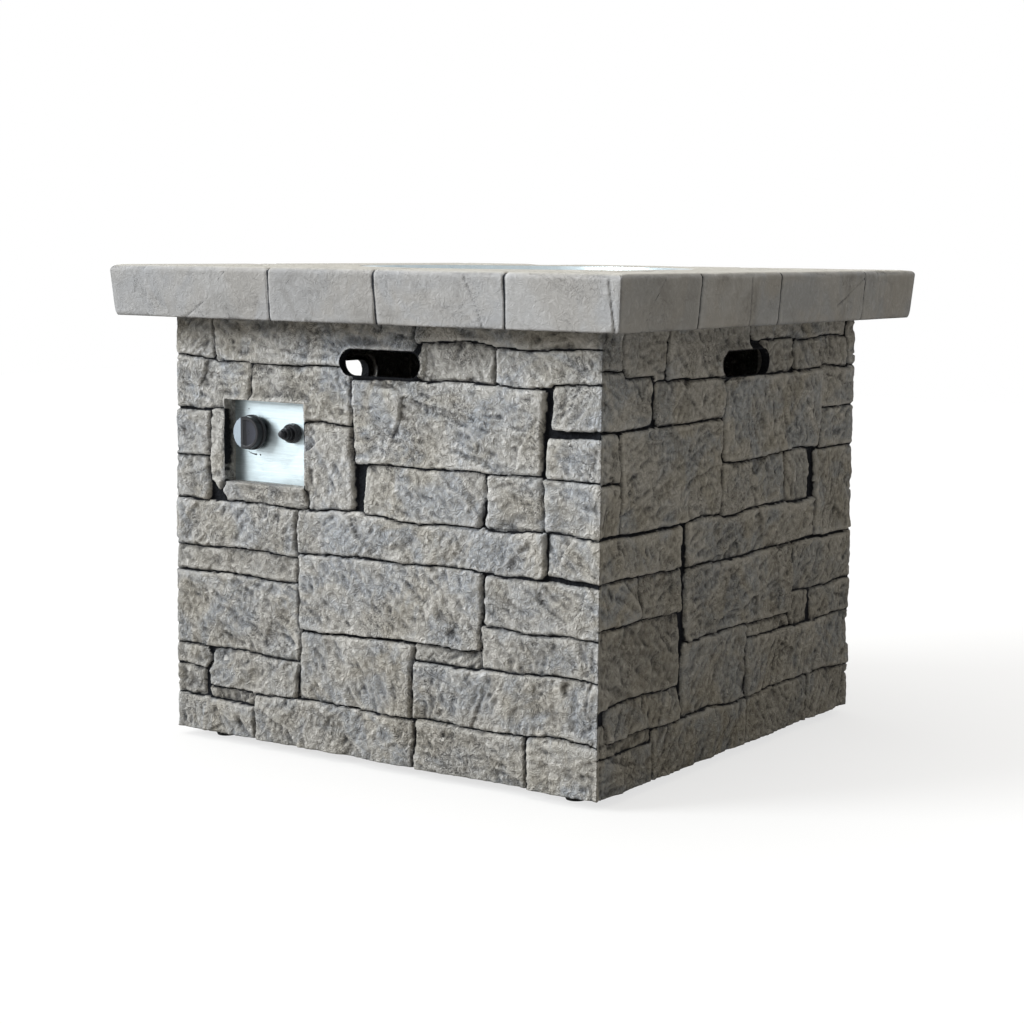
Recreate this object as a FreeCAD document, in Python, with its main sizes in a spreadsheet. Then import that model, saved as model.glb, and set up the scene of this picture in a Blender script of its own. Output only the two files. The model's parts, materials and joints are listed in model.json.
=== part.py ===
import FreeCAD, Part
import math
import os
import re
import Sketcher
from FreeCAD import Placement, Rotation, Vector

# Gas fire pit table with a moulded stone base, 762 mm square and 610 mm high.
# Frame: origin on the floor under the middle, +Z up, the control panel faces -Y.
# Every length is in millimetres.

os.makedirs("parts", exist_ok=True)
doc = FreeCAD.newDocument("gas_fire_pit_table")
sheet = doc.addObject("Spreadsheet::Sheet", "sizes")

driving_sizes = {
    # table top
    "slab_side": 762, "slab_thick": 64, "slab_draft": 4.5, "slab_arris": 7,
    "slab_roof": 22, "slab_band": 128, "slab_border": 125, "slab_joint_wide": 4,
    "slab_joint_deep": 3, "slab_arris_low": 4.2, "slab_arris_step": 2.1, "seat_gap": 0.5,
    "front_joint_a": 262, "front_joint_b": 425, "front_joint_c": 608,
    "side_joint_a": 175, "side_joint_b": 371, "side_joint_c": 605,
    # moulded stone base
    "body_side": 652, "body_height": 535, "wall_thick": 22, "joint_depth": 10,
    "stone_draft": 3, "stone_root": 1, "ledge_width": 50, "ledge_thick": 14, "hose_hole_radius": 20,
    "pattern_side": 652, "pattern_height": 535,
    # hand slots, one in each wall, the left one lower and in the door
    "slot_length": 120, "slot_height": 32, "slot_shift": 9, "slot_drop": 49,
    "door_slot_shift": -2, "door_slot_drop": 87.5, "slot_rim": 13, "slot_pocket": 8,
    # rubber feet
    "foot_height": 11, "foot_top_radius": 17, "foot_low_radius": 12,
    "foot_side_inset": 54, "foot_front_inset": 39,
    "foot_screw_radius": 2.2, "foot_screw_head_radius": 5, "foot_screw_head": 3,
    "foot_screw_bite": 11, "foot_well": 4,
    # control panel
    "panel_from_left": 88, "panel_drop": 103, "panel_wide": 130, "panel_tall": 104,
    "plate_thick": 1.5, "plate_lap": 12, "plate_screw_radius": 2,
    "plate_screw_head_radius": 4, "plate_screw_head": 2, "plate_screw_bite": 8,
    "stem_hole_gap": 1,
    # control knob
    "knob_inset": 35, "knob_rise": 63, "knob_gap": 5.5, "knob_radius": 22.25,
    "knob_skirt": 5, "drum_radius": 20.5, "drum_length": 10, "knob_face_chord": 8,
    "knob_face_thick": 1.2, "knob_face_gap": 0.3, "knob_scoop": 7, "knob_land": 3,
    "knob_edge": 0.8, "knob_skirt_edge": 1, "knob_travel": 5,
    # gas valve
    "valve_wide": 34, "valve_long": 50.5, "valve_nose": 3, "plug_radius": 9.95,
    "plug_length": 25, "fit_gap": 0.05, "stem_radius": 3, "stem_flat": 1.2,
    "stem_in_knob": 12.5, "stem_in_plug": 10, "stem_collar_radius": 6,
    "stem_collar": 1.7, "collar_gap": 0.3, "valve_spring_wire": 0.8,
    "valve_spring_radius": 5, "valve_spring_turns": 4,
    "spring_slack": 0.5, "valve_screw_bite": 6, "valve_screw_radius": 1.5,
    "valve_screw_head_radius": 3, "valve_screw_offset": 13,
    "outlet_radius": 7, "outlet_length": 11, "port_setback": 40,
    "inlet_boss_radius": 10, "inlet_boss": 8, "inlet_setback": 26,
    "inlet_radius": 7.94, "inlet_length": 14, "inlet_bore": 4,
    "inlet_shoulder": 5, "inlet_nose": 3, "inlet_nose_wall": 1,
    "magnet_radius": 8.5, "magnet_length": 30, "magnet_tail_radius": 3,
    "magnet_tail": 8,
    # push-button igniter
    "igniter_inset": 97, "igniter_rise": 65, "neck_radius": 11, "collar_radius": 12.5,
    "collar_length": 10, "collar_lip": 3, "collar_rib": 1,
    "collar_rib_wide": 3, "collar_rib_short": 1.8, "collar_groove": 0.6, "collar_step": 0.4,
    "collar_step_last": 0.9, "collar_chamfer": 2, "igniter_radius": 14,
    "igniter_length": 68, "button_radius": 8.5, "button_gap": 0.2,
    "button_flange_radius": 9.6, "button_flange": 1.5, "neck_bore_radius": 9.9,
    "neck_bore": 21, "button_step": 5, "button_step_radius": 7,
    "button_tip_radius": 4.8, "button_tip": 7, "button_edge": 0.8,
    "button_step_edge": 0.6, "button_tip_straight": 0.6, "button_tip_round": 0.85, "button_travel": 5,
    "igniter_spring_wire": 0.9, "igniter_spring_radius": 7, "igniter_spring_turns": 5,
    "battery_radius": 7.1, "battery_length": 49, "battery_wall": 2,
    "battery_gap": 0.2, "coil_steps": 16, "coil_seat": 0.6,
    # door in the left wall
    "door_width": 350, "door_drop": 23, "door_gap": 3, "hinge_gap": 3.4,
    "door_shift": 28, "door_low": 22, "hinge_leaf": 1.5, "hinge_leaf_deep": 21,
    "hinge_length": 60, "hinge_low": 70, "hinge_drop": 72, "knuckle_radius": 4,
    "hinge_pin_radius": 2, "hinge_pin_head": 1.5, "hinge_pin_head_radius": 3,
    "hinge_proud": 5, "hinge_barrel_gap": 0.3, "hinge_screw_radius": 1.6,
    "hinge_screw_bite": 12,
    "catch_wide": 30, "catch_deep": 14, "catch_gap": 0.3, "catch_drop": 23,
    "catch_foot": 16, "catch_inset": 7, "strike_thick": 2.3, "strike_wide": 26,
    "strike_tall": 14, "strike_rise": 1,
    # bowl set in the table top
    "opening_radius": 202, "flange_radius": 218, "flange_seat": 2, "sheet_metal": 1.5,
    "bowl_radius": 200, "bowl_floor_radius": 188, "bowl_depth": 63.5,
    # burner
    "ring_radius": 120, "ring_tube": 7, "cross_tube": 6.4, "ring_rise": 22, "port_radius": 1.3,
    "port_count": 24, "hub_radius": 15, "hub_flange_radius": 19, "hub_flange": 4.5,
    "nipple_radius": 10.5, "nipple_drop": 19, "nut_radius": 18, "nut_height": 9,
    # mixer below the bowl
    "elbow_radius": 13, "elbow_drop": 16, "elbow_leg": 36, "mixer_radius": 10,
    "mixer_wall": 1.5, "mixer_length": 80, "mixer_seat": 10, "air_slot_long": 20,
    "air_slot_tall": 8, "air_slot_setback": 12, "orifice_nose_radius": 5,
    "orifice_flange_radius": 8, "orifice_flange": 8, "orifice_tail_radius": 5.5,
    "orifice_tail": 10, "orifice_jet": 1, "orifice_jet_deep": 2,
    # tube and leads
    "tube_radius": 4, "tube_bend": 24, "lead_radius": 1.5, "lead_bend": 12,
    "lead_drop": 30, "lead_step": 4, "lead_run_out": 20,
    # igniter tip and flame sensor
    "sensor_radius_out": 104, "spark_angle": 240, "probe_angle": 220,
    "insulator_radius": 3.5, "spark_rod_radius": 1, "probe_radius": 2.5,
    "sensor_hang": 5, "sensor_top_gap": 12, "clip_thick": 1.2, "clip_rise": 9,
    "clip_wide": 12, "clip_long": 52,
    # heat shield
    "shield_radius": 185, "shield_thick": 1.2, "shield_drop": 43.8,
    "spacer_radius": 4, "spacer_out": 117,
    # lava rocks
    "rock_radius": 18.5, "rock_gap": 0.2, "rock_hub_gap": 3, "rock_wall_gap": 2,
    "rock_row_gap": 2, "rock_low_share": 0.66, "rock_tall_swing": 0.14,
    # cylinder tray
    "tray_side": 560, "tray_thick": 2, "tray_ring_radius": 111, "tray_ring_wall": 2,
    "tray_ring_height": 8, "tray_ring_floor": 1.5, "tray_vent_radius": 20, "tray_vent_out": 200,
    "cylinder_shift_x": 120, "cylinder_shift_y": 33,
    # angle brackets under the top
    "bracket_out": 250, "bracket_wide": 40, "bracket_leg": 40, "bracket_drop": 45,
    "bracket_thick": 2.5, "bracket_screw_radius": 2.5, "bracket_screw_head_radius": 5,
    "bracket_screw_head": 3, "bracket_screw_bite": 9, "bracket_screw_setback": 27,
    "bracket_head_gap": 1.5,
    # how far a cutting tool runs past the faces that it cuts
    "run_past": 1,
}

for row, (alias, amount) in enumerate(driving_sizes.items(), start=1):
    sheet.set("A%d" % row, str(amount))
    sheet.setAlias("A%d" % row, alias)
doc.recompute()

alias_pattern = re.compile(r"\b(" + "|".join(driving_sizes) + r")\b")
pieces = []


def linked(text):
    """An expression in plain size names, with each name pointed at its sheet cell."""
    return alias_pattern.sub(r"sizes.\1", text)


def value(text):
    return float(sheet.evalExpression(linked(text)))


axis_turns = {
    "z": Rotation(),
    "-z": Rotation(Vector(1, 0, 0), 180),
    "x": Rotation(Vector(0, 1, 0), 90),
    "-x": Rotation(Vector(0, 1, 0), -90),
    "y": Rotation(Vector(1, 0, 0), -90),
    "-y": Rotation(Vector(1, 0, 0), 90),
}


def place(item, base, axis="z"):
    item.Placement = Placement(Vector(), axis_turns[axis])
    for letter, text in zip("xyz", base):
        item.setExpression("Placement.Base." + letter, linked(text))


def box(label, low, high):
    """A block between two corners, each given as three expressions."""
    item = doc.addObject("Part::Box", label)
    for side, start, end in zip(("Length", "Width", "Height"), low, high):
        item.setExpression(side, linked("(%s) - (%s)" % (end, start)))
    place(item, low)
    return item


def cylinder(label, radius, length, base, axis="z"):
    item = doc.addObject("Part::Cylinder", label)
    item.setExpression("Radius", linked(radius))
    item.setExpression("Height", linked(length))
    place(item, base, axis)
    return item


def fused(label, parts):
    item = doc.addObject("Part::MultiFuse", label)
    item.Shapes = parts
    return item


def cut(label, base, tools):
    item = doc.addObject("Part::Cut", label)
    item.Base = base
    item.Tool = tools[0] if len(tools) == 1 else fused(label + "_tools", tools)
    return item


def common(label, first, second):
    item = doc.addObject("Part::Common", label)
    item.Base = first
    item.Tool = second
    return item


def feature(label, shape):
    item = doc.addObject("Part::Feature", label)
    item.Shape = shape
    return item


def sketch_on(body, role, points):
    """A closed outline whose corners sit at the given pairs of expressions."""
    sketch = body.newObject("Sketcher::SketchObject", body.Name + "_outline")
    plane = [part for part in body.Origin.OriginFeatures if part.Role == role][0]
    sketch.AttachmentSupport = [(plane, "")]
    sketch.MapMode = "FlatFace"
    corners = [Vector(value(across), value(along), 0) for across, along in points]
    count = len(corners)
    for number in range(count):
        line = Part.LineSegment(corners[number], corners[(number + 1) % count])
        sketch.addGeometry(line)
    for number in range(count):
        joint = Sketcher.Constraint("Coincident", number, 2, (number + 1) % count, 1)
        sketch.addConstraint(joint)
    for number, pair in enumerate(points):
        for kind, text, start in zip(("DistanceX", "DistanceY"), pair, corners[number]):
            rule = Sketcher.Constraint(kind, -1, 1, number, 1, start)
            index = sketch.addConstraint(rule)
            sketch.setExpression("Constraints[%d]" % index, linked(text))
    return sketch


def turned(label, points, base, axis="z"):
    """A body turned about an axis from (radius, distance along the axis) pairs."""
    body = doc.addObject("PartDesign::Body", label)
    sketch = sketch_on(body, "XZ_Plane", points)
    turn = body.newObject("PartDesign::Revolution", label + "_turn")
    turn.Profile = sketch
    turn.ReferenceAxis = (sketch, ["V_Axis"])
    turn.Angle = 360
    place(body, base, axis)
    return body


def padded(label, points, thickness, base, axis="z"):
    """A flat outline in the body's own XY plane, padded along its axis."""
    body = doc.addObject("PartDesign::Body", label)
    sketch = sketch_on(body, "XY_Plane", points)
    pad = body.newObject("PartDesign::Pad", label + "_pad")
    pad.Profile = sketch
    pad.setExpression("Length", linked(thickness))
    place(body, base, axis)
    return body


def rectangle(wide, tall):
    return [("0", "0"), (wide, "0"), (wide, tall), ("0", tall)]


def piece(item):
    pieces.append(item)
    return item


def routed_tube(label, radius, bend, corners):
    """A round tube along straight runs, with a tangent arc at each inner corner."""
    edges = []
    start = corners[0]
    for number in range(1, len(corners) - 1):
        corner = corners[number]
        arriving = (corner - corners[number - 1]).normalize()
        leaving = (corners[number + 1] - corner).normalize()
        turn = arriving.getAngle(leaving)
        setback = bend * math.tan(turn / 2)
        first = corner - arriving * setback
        last = corner + leaving * setback
        inward = (leaving - arriving).normalize()
        middle = corner + inward * bend * (1 / math.cos(turn / 2) - 1)
        edges.append(Part.LineSegment(start, first).toShape())
        edges.append(Part.Arc(first, middle, last).toShape())
        start = last
    edges.append(Part.LineSegment(start, corners[-1]).toShape())
    path = Part.Wire(edges)
    ring = Part.Wire(Part.makeCircle(radius, corners[0], corners[1] - corners[0]))
    return feature(label, path.makePipeShell([ring], True, False))


def coil(label, radius, wire, turns, length, base, rotation):
    """A compression spring whose turns fill the given length, bent in short straight steps."""
    seat = value("coil_seat") * wire
    rise = length - 2 * seat
    steps = round(turns * value("coil_steps"))
    corners = []
    for step in range(steps + 1):
        angle = 2 * math.pi * turns * step / steps
        corners.append(Vector(radius * math.cos(angle), radius * math.sin(angle),
                              rise * step / steps))
    ring = Part.Wire(Part.makeCircle(wire / 2, corners[0], corners[1] - corners[0]))
    item = feature(label, Part.makePolygon(corners).makePipeShell([ring], True, False, 1))
    item.Placement = Placement(base + rotation.multVec(Vector(0, 0, seat)), rotation)
    return item


half_body = "(body_side / 2)"
inner_face = "(body_side / 2 - wall_thick)"
body_top = "(foot_height + body_height)"
slab_top = "(foot_height + body_height + slab_thick)"
ledge_top = "(foot_height + ledge_thick)"

# Moulded stone faces. Each stone is left, low, right, high and how far it stands
# out of the joints, in mm on a face of 652 by 535 seen from outside.
front_stones = [
    (0, 485, 67, 535, 7), (68, 481, 385, 535, 9), (385, 513, 652, 535, 8),
    (395, 470, 500, 513, 5), (502, 473, 652, 511, 9), (0, 422, 125, 480, 8),
    (128, 410, 293, 475, 7), (291, 367, 567, 467, 10), (578, 425, 652, 475, 9),
    (0, 358, 60, 415, 7), (0, 303, 57, 355, 7), (62, 303, 86, 418, 7),
    (62, 303, 218, 327, 7), (219, 303, 290, 408, 8), (308, 300, 483, 362, 7),
    (490, 300, 568, 362, 6), (575, 365, 652, 412, 9), (570, 303, 652, 360, 9),
    (0, 243, 203, 300, 9), (205, 250, 572, 300, 9), (575, 253, 652, 298, 8),
    (0, 210, 202, 240, 4), (0, 112, 203, 210, 9), (205, 157, 485, 245, 10),
    (490, 185, 652, 243, 8), (485, 137, 652, 183, 7), (385, 135, 483, 152, 5),
    (208, 65, 383, 150, 9), (385, 65, 652, 133, 10), (0, 85, 65, 108, 6),
    (0, 45, 45, 82, 5), (55, 62, 205, 108, 7), (55, 47, 130, 60, 4),
    (0, 0, 130, 45, 9), (134, 0, 385, 60, 9), (390, 0, 545, 62, 8),
    (550, 0, 652, 60, 10),
]
side_stones = [
    (0, 490, 45, 535, 8), (55, 475, 150, 530, 7), (152, 472, 350, 535, 9),
    (355, 513, 625, 535, 8), (380, 467, 470, 510, 5), (475, 470, 630, 507, 7),
    (632, 478, 652, 530, 10), (0, 425, 122, 485, 8), (130, 422, 285, 470, 7),
    (290, 367, 550, 467, 10), (555, 420, 652, 472, 8), (0, 362, 47, 418, 8),
    (0, 305, 45, 358, 8), (50, 305, 280, 418, 9), (285, 302, 455, 362, 7),
    (458, 300, 520, 362, 6), (553, 365, 652, 417, 9), (540, 250, 652, 360, 8),
    (0, 252, 188, 298, 9), (205, 250, 538, 300, 9), (0, 198, 97, 248, 8),
    (98, 197, 195, 248, 7), (205, 155, 480, 245, 10), (483, 182, 652, 242, 7),
    (0, 105, 190, 193, 4), (540, 135, 652, 178, 8), (360, 137, 475, 150, 5),
    (30, 65, 190, 108, 7), (0, 50, 28, 85, 7), (200, 65, 357, 153, 9),
    (360, 63, 652, 132, 10), (0, 0, 128, 45, 9), (130, 0, 360, 60, 9),
    (362, 0, 530, 60, 8), (535, 0, 652, 58, 9),
]


def stone_block(corner, across, outward, stone):
    """One raised stone: a block whose sides slope in as it stands out."""
    left, low, right, high, proud = stone
    side = value("body_side")
    stretch = side / value("pattern_side")
    lift = value("body_height / pattern_height")
    joint = value("joint_depth")
    draft = value("stone_draft")
    top_edge = value("body_height")
    root = joint + value("stone_root")
    wraps_left = left == 0
    wraps_right = right == value("pattern_side")
    left = joint - proud if wraps_left else left * stretch
    right = side - joint + proud if wraps_right else right * stretch
    low = low * lift
    high = high * lift
    slopes = (
        0 if wraps_left else draft,
        draft if low > 0 else 0,
        0 if wraps_right else draft,
        draft if high < top_edge else 0,
    )

    def corner_at(u, v, depth):
        return corner + across * u + Vector(0, 0, v) - outward * depth

    def outline(inset, depth):
        near = left + slopes[0] * inset
        foot = low + slopes[1] * inset
        far = right - slopes[2] * inset
        head = high - slopes[3] * inset
        spots = ((near, foot), (far, foot), (far, head), (near, head))
        corners = [corner_at(u, v, depth) for u, v in spots]
        return Part.makePolygon(corners + corners[:1])

    return Part.makeLoft([outline(0, root), outline(1, joint - proud)], True, True)


def wall_frames():
    """The low left corner, the way across and the way out of each wall."""
    reach = value(half_body)
    base = value("foot_height")
    return {
        "front": (Vector(-reach, -reach, base), Vector(1, 0, 0), Vector(0, -1, 0)),
        "right": (Vector(reach, -reach, base), Vector(0, 1, 0), Vector(1, 0, 0)),
        "back": (Vector(reach, reach, base), Vector(-1, 0, 0), Vector(0, 1, 0)),
        "left": (Vector(-reach, reach, base), Vector(0, -1, 0), Vector(-1, 0, 0)),
    }


def stone_relief():
    blocks = []
    for name, frame in wall_frames().items():
        stones = front_stones if name == "front" else side_stones
        blocks += [stone_block(*frame, stone) for stone in stones]
    return feature("stone_relief", blocks[0].multiFuse(blocks[1:]))


def square_block(label, half, low, high):
    minus = "(0 - (%s))" % half
    return box(label, (minus, minus, low), (half, half, high))


def slot_cutter(name, frame):
    """A hand slot with round ends, wider on the wall's inner side so that its rim is thin."""
    corner, across, outward = frame
    own = "door_slot" if name == "left" else "slot"
    middle = corner + across * value("body_side / 2 + %s_shift" % own)
    middle += Vector(0, 0, value("body_height - %s_drop" % own))
    half_run = across * value("(slot_length - slot_height) / 2")

    def oblong(radius, near, far):
        up = Vector(0, 0, radius)
        tip = across * radius
        start = middle - half_run - outward * near
        end = middle + half_run - outward * near
        outline = Part.Wire([
            Part.LineSegment(start - up, end - up).toShape(),
            Part.Arc(end - up, end + tip, end + up).toShape(),
            Part.LineSegment(end + up, start + up).toShape(),
            Part.Arc(start + up, start - tip, start - up).toShape(),
        ])
        return Part.Face(outline).extrude(outward * (near - far))

    rim = value("slot_height / 2")
    past = value("run_past")
    behind = value("wall_thick") + past
    narrow = oblong(rim, -past, behind)
    wide = oblong(rim + value("slot_pocket"), value("slot_rim"), behind)
    return feature("slot_cutter_" + name, narrow.fuse(wide))


door_back_y = "(door_width / 2 - door_shift)"
door_front_y = "(0 - door_width / 2 - door_shift)"
jamb_front_y = "(0 - door_width / 2 - door_shift - hinge_gap)"
door_low_z = "(foot_height + door_low)"
door_high_z = "(foot_height + body_height - door_drop)"
hinge_bases = {
    "low": "(foot_height + hinge_low)",
    "high": "(%s - hinge_drop - hinge_length)" % door_high_z,
}
outside_x = "(0 - body_side / 2 - run_past)"
inside_x = "(0 - body_side / 2 + wall_thick)"


def foot_spots():
    return [(side, face) for face in ("-", "+") for side in ("-", "+")]


def signed(sign, text):
    return "(%s (%s))" % ("0 -" if sign == "-" else "0 +", text)


foot_x = half_body + " - foot_side_inset"
foot_y = half_body + " - foot_front_inset"
plate_x = "(0 - body_side / 2 + panel_from_left)"
plate_z = "(foot_height + body_height - panel_drop - panel_tall)"
plate_front = "(0 - body_side / 2 + wall_thick)"
plate_back = "(0 - body_side / 2 + wall_thick + plate_thick)"


def plate_screw_spots():
    """The plate's four fixings, halfway across its lap on the wall."""
    half_lap = "plate_lap / 2"
    low_x = "(%s - %s)" % (plate_x, half_lap)
    high_x = "(%s + panel_wide + %s)" % (plate_x, half_lap)
    low_z = "(%s - %s)" % (plate_z, half_lap)
    high_z = "(%s + panel_tall + %s)" % (plate_z, half_lap)
    return [(x, z) for x in (low_x, high_x) for z in (low_z, high_z)]


def bracket_spots():
    return [(side, face) for face in ("-", "+") for side in ("-", "+")]


def bracket_wall_hole(number, side, face):
    outward = "y" if face == "+" else "-y"
    spot = (
        signed(side, "bracket_out"),
        signed(face, inner_face),
        body_top + " - bracket_screw_setback",
    )
    return cylinder("bracket_wall_hole_%d" % number, "bracket_screw_radius",
                    "bracket_screw_bite", spot, outward)


def hinge_screw_hole(label, height, side):
    """A hole across the hinge gap into the wall or into the door edge."""
    across = half_body + " - hinge_leaf_deep / 2"
    start = jamb_front_y if side == "wall" else door_front_y
    axis = "-y" if side == "wall" else "y"
    spot = (signed("-", across), start, height + " + hinge_length / 2")
    return cylinder(label, "hinge_screw_radius", "hinge_screw_bite", spot, axis)


def hose_hole(label):
    """The round way down past the ledge and the tray for a hose to the gas inlet."""
    return cylinder(label, "hose_hole_radius", "ledge_thick + tray_thick + 2 * run_past",
                    (knob_x, plate_back + " + inlet_setback", "foot_height - run_past"))


def stone_walls():
    """The hollow base and the door cut from its left wall."""
    core = square_block("wall_core", "body_side / 2 - joint_depth", "foot_height", body_top)
    room = square_block("wall_room", inner_face, ledge_top, body_top + " + run_past")
    gap = square_block("ledge_gap", inner_face + " - ledge_width", "foot_height - run_past",
                       ledge_top + " + run_past")
    hollow = cut("wall_shell", core, [room, gap])
    stones = fused("stone_shell", [hollow, stone_relief()])
    slots = [slot_cutter(name, frame) for name, frame in wall_frames().items()]
    window = box(
        "panel_window",
        (plate_x, "0 - body_side / 2 - run_past", plate_z),
        (plate_x + " + panel_wide", plate_front + " + run_past", plate_z + " + panel_tall"),
    )
    pierced = cut("pierced_shell", stones, slots + [window])
    doorway = box(
        "doorway",
        (outside_x, jamb_front_y, door_low_z + " - door_gap"),
        (inside_x + " + run_past", door_back_y + " + door_gap", door_high_z + " + door_gap"),
    )
    holes = [
        cylinder("foot_hole_%d" % number, "foot_screw_radius", "foot_screw_bite",
                 (signed(side, foot_x), signed(face, foot_y), "foot_height"))
        for number, (side, face) in enumerate(foot_spots(), start=1)
    ]
    holes += [
        cylinder("plate_hole_%d" % number, "plate_screw_radius", "plate_screw_bite",
                 (x, plate_front, z), "-y")
        for number, (x, z) in enumerate(plate_screw_spots(), start=1)
    ]
    holes += [
        bracket_wall_hole(number, side, face)
        for number, (side, face) in enumerate(bracket_spots(), start=1)
    ]
    holes.append(hose_hole("ledge_hose_hole"))
    holes += [
        hinge_screw_hole("hinge_wall_hole_low", hinge_bases["low"], "wall"),
        hinge_screw_hole("hinge_wall_hole_high", hinge_bases["high"], "wall"),
    ]
    piece(cut("stone_body", pierced, [doorway] + holes))
    door_block = box(
        "door_block",
        (outside_x, door_front_y, door_low_z),
        (inside_x, door_back_y, door_high_z),
    )
    door_blank = common("door_blank", pierced, door_block)
    door_holes = [
        hinge_screw_hole("hinge_door_hole_low", hinge_bases["low"], "door"),
        hinge_screw_hole("hinge_door_hole_high", hinge_bases["high"], "door"),
    ]
    piece(cut("access_door", door_blank, door_holes))


def slab_blank():
    """The drafted slab with softened upper edges, as stacked ruled sections."""
    half = value("slab_side / 2")
    low = half - value("slab_draft")
    arris = value("slab_arris")
    step = value("slab_arris_step")
    base = value(body_top)
    top = value(slab_top)

    def section(reach, height, clip):
        inner = reach - clip
        corners = [
            (-inner, -reach), (inner, -reach), (reach, -inner), (reach, inner),
            (inner, reach), (-inner, reach), (-reach, inner), (-reach, -inner),
        ]
        points = [Vector(x, y, height) for x, y in corners]
        return Part.makePolygon(points + points[:1])

    levels = [
        section(low, base, value("slab_arris_low")),
        section(half, top - arris, arris),
        section(half - step, top - step, arris),
        section(half - arris, top, arris),
    ]
    return feature("slab_blank", Part.makeLoft(levels, True, True))


def slab_joints():
    """Grooves that part the slab's edge into blocks, run in over its top and end in a square."""
    half = "slab_side / 2"
    deep = "slab_joint_deep"
    grooves = []
    rows = (
        ("front_joint_a", "-", "y"), ("front_joint_b", "-", "y"),
        ("front_joint_c", "-", "y"), ("side_joint_a", "+", "x"),
        ("side_joint_b", "+", "x"), ("side_joint_c", "+", "x"),
        ("front_joint_a", "+", "y"), ("front_joint_b", "+", "y"),
        ("front_joint_c", "+", "y"), ("side_joint_a", "-", "x"),
        ("side_joint_b", "-", "x"), ("side_joint_c", "-", "x"),
    )
    for number, (joint, sign, normal) in enumerate(rows, start=1):
        turned_round = (normal, sign) in (("y", "+"), ("x", "-"))
        along = "%s - %s" % (joint, half) if not turned_round else "%s - %s" % (half, joint)
        side = ("%s - slab_joint_wide / 2" % along, "%s + slab_joint_wide / 2" % along)
        outer = half + " + run_past"
        faces = [
            (half + " - slab_draft - " + deep, outer, body_top + " - run_past",
             slab_top + " + run_past"),
            (half + " - slab_border", outer, slab_top + " - " + deep, slab_top + " + run_past"),
        ]
        for part, (near, far, low, high) in enumerate(faces, start=1):
            reach = sorted(((near, sign), (far, sign)), key=lambda pair: pair[0] == far)
            ends = [signed(sign, text) for text, sign in reach]
            if sign == "-":
                ends.reverse()
            if normal == "y":
                corners = ((side[0], ends[0], low), (side[1], ends[1], high))
            else:
                corners = ((ends[0], side[0], low), (ends[1], side[1], high))
            grooves.append(box("slab_groove_%d_%d" % (number, part), *corners))
    squares = [
        square_block("border_groove_" + name, half + " - slab_border " + edge,
                     slab_top + " - " + deep, slab_top + " + run_past")
        for name, edge in (("outer", "+ slab_joint_wide"), ("inner", "+ 0"))
    ]
    return grooves + [cut("border_groove", squares[0], squares[1:])]


def table_top():
    opening = cylinder("slab_opening", "opening_radius", "slab_thick + 2 * run_past",
                       ("0", "0", body_top + " - run_past"))
    seat = cylinder("slab_seat", "flange_radius + seat_gap", "flange_seat + run_past",
                    ("0", "0", slab_top + " - flange_seat"))
    pocket = square_block("slab_pocket", "slab_side / 2 - slab_band", body_top + " - run_past",
                          slab_top + " - slab_roof")
    holes = [
        cylinder("bracket_slab_hole_%d" % number, "bracket_screw_radius",
                 "bracket_screw_bite",
                 (signed(side, "bracket_out"), bracket_inner_y(face), body_top))
        for number, (side, face) in enumerate(bracket_spots(), start=1)
    ]
    tools = [opening, seat, pocket] + holes + slab_joints()
    piece(cut("table_top", slab_blank(), tools))


def bracket_inner_y(face):
    """Where the screw through a bracket's upper leg stands."""
    setback = " - bracket_thick - bracket_screw_head_radius - bracket_head_gap"
    return signed(face, inner_face + setback)


def top_brackets():
    """Angle brackets that tie the top to the front and back walls."""
    screws = []
    for number, (side, face) in enumerate(bracket_spots(), start=1):
        low_x = signed(side, "bracket_out") + " - bracket_wide / 2"
        high_x = signed(side, "bracket_out") + " + bracket_wide / 2"
        wall = signed(face, inner_face)
        thin = signed(face, inner_face + " - bracket_thick")
        deep = signed(face, inner_face + " - bracket_leg")
        ends = (thin, wall) if face == "+" else (wall, thin)
        leg_ends = (deep, wall) if face == "+" else (wall, deep)
        upright = box("bracket_upright_%d" % number,
                      (low_x, ends[0], body_top + " - bracket_drop"),
                      (high_x, ends[1], body_top))
        leg = box("bracket_shelf_%d" % number,
                  (low_x, leg_ends[0], body_top + " - bracket_thick"),
                  (high_x, leg_ends[1], body_top))
        blank = fused("bracket_blank_%d" % number, [upright, leg])
        wall_spot = (signed(side, "bracket_out"), thin,
                     body_top + " - bracket_screw_setback")
        slab_spot = (signed(side, "bracket_out"), bracket_inner_y(face),
                     body_top + " - bracket_thick")
        outward = "y" if face == "+" else "-y"
        profile = [
            ("0", "0 - bracket_screw_head"), ("bracket_screw_head_radius", "0 - bracket_screw_head"),
            ("bracket_screw_head_radius", "0"), ("bracket_screw_radius", "0"),
            ("bracket_screw_radius", "bracket_thick + bracket_screw_bite"),
            ("0", "bracket_thick + bracket_screw_bite"),
        ]
        pair = [
            turned("bracket_wall_screw_%d" % number, profile, wall_spot, outward),
            turned("bracket_slab_screw_%d" % number, profile, slab_spot),
        ]
        holes = [
            cylinder("bracket_hole_a_%d" % number, "bracket_screw_radius",
                     "bracket_thick", wall_spot, outward),
            cylinder("bracket_hole_b_%d" % number, "bracket_screw_radius",
                     "bracket_thick", slab_spot),
        ]
        piece(cut("top_bracket_%d" % number, blank, holes))
        screws += pair
    piece(fused("bracket_screws", screws))


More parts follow.
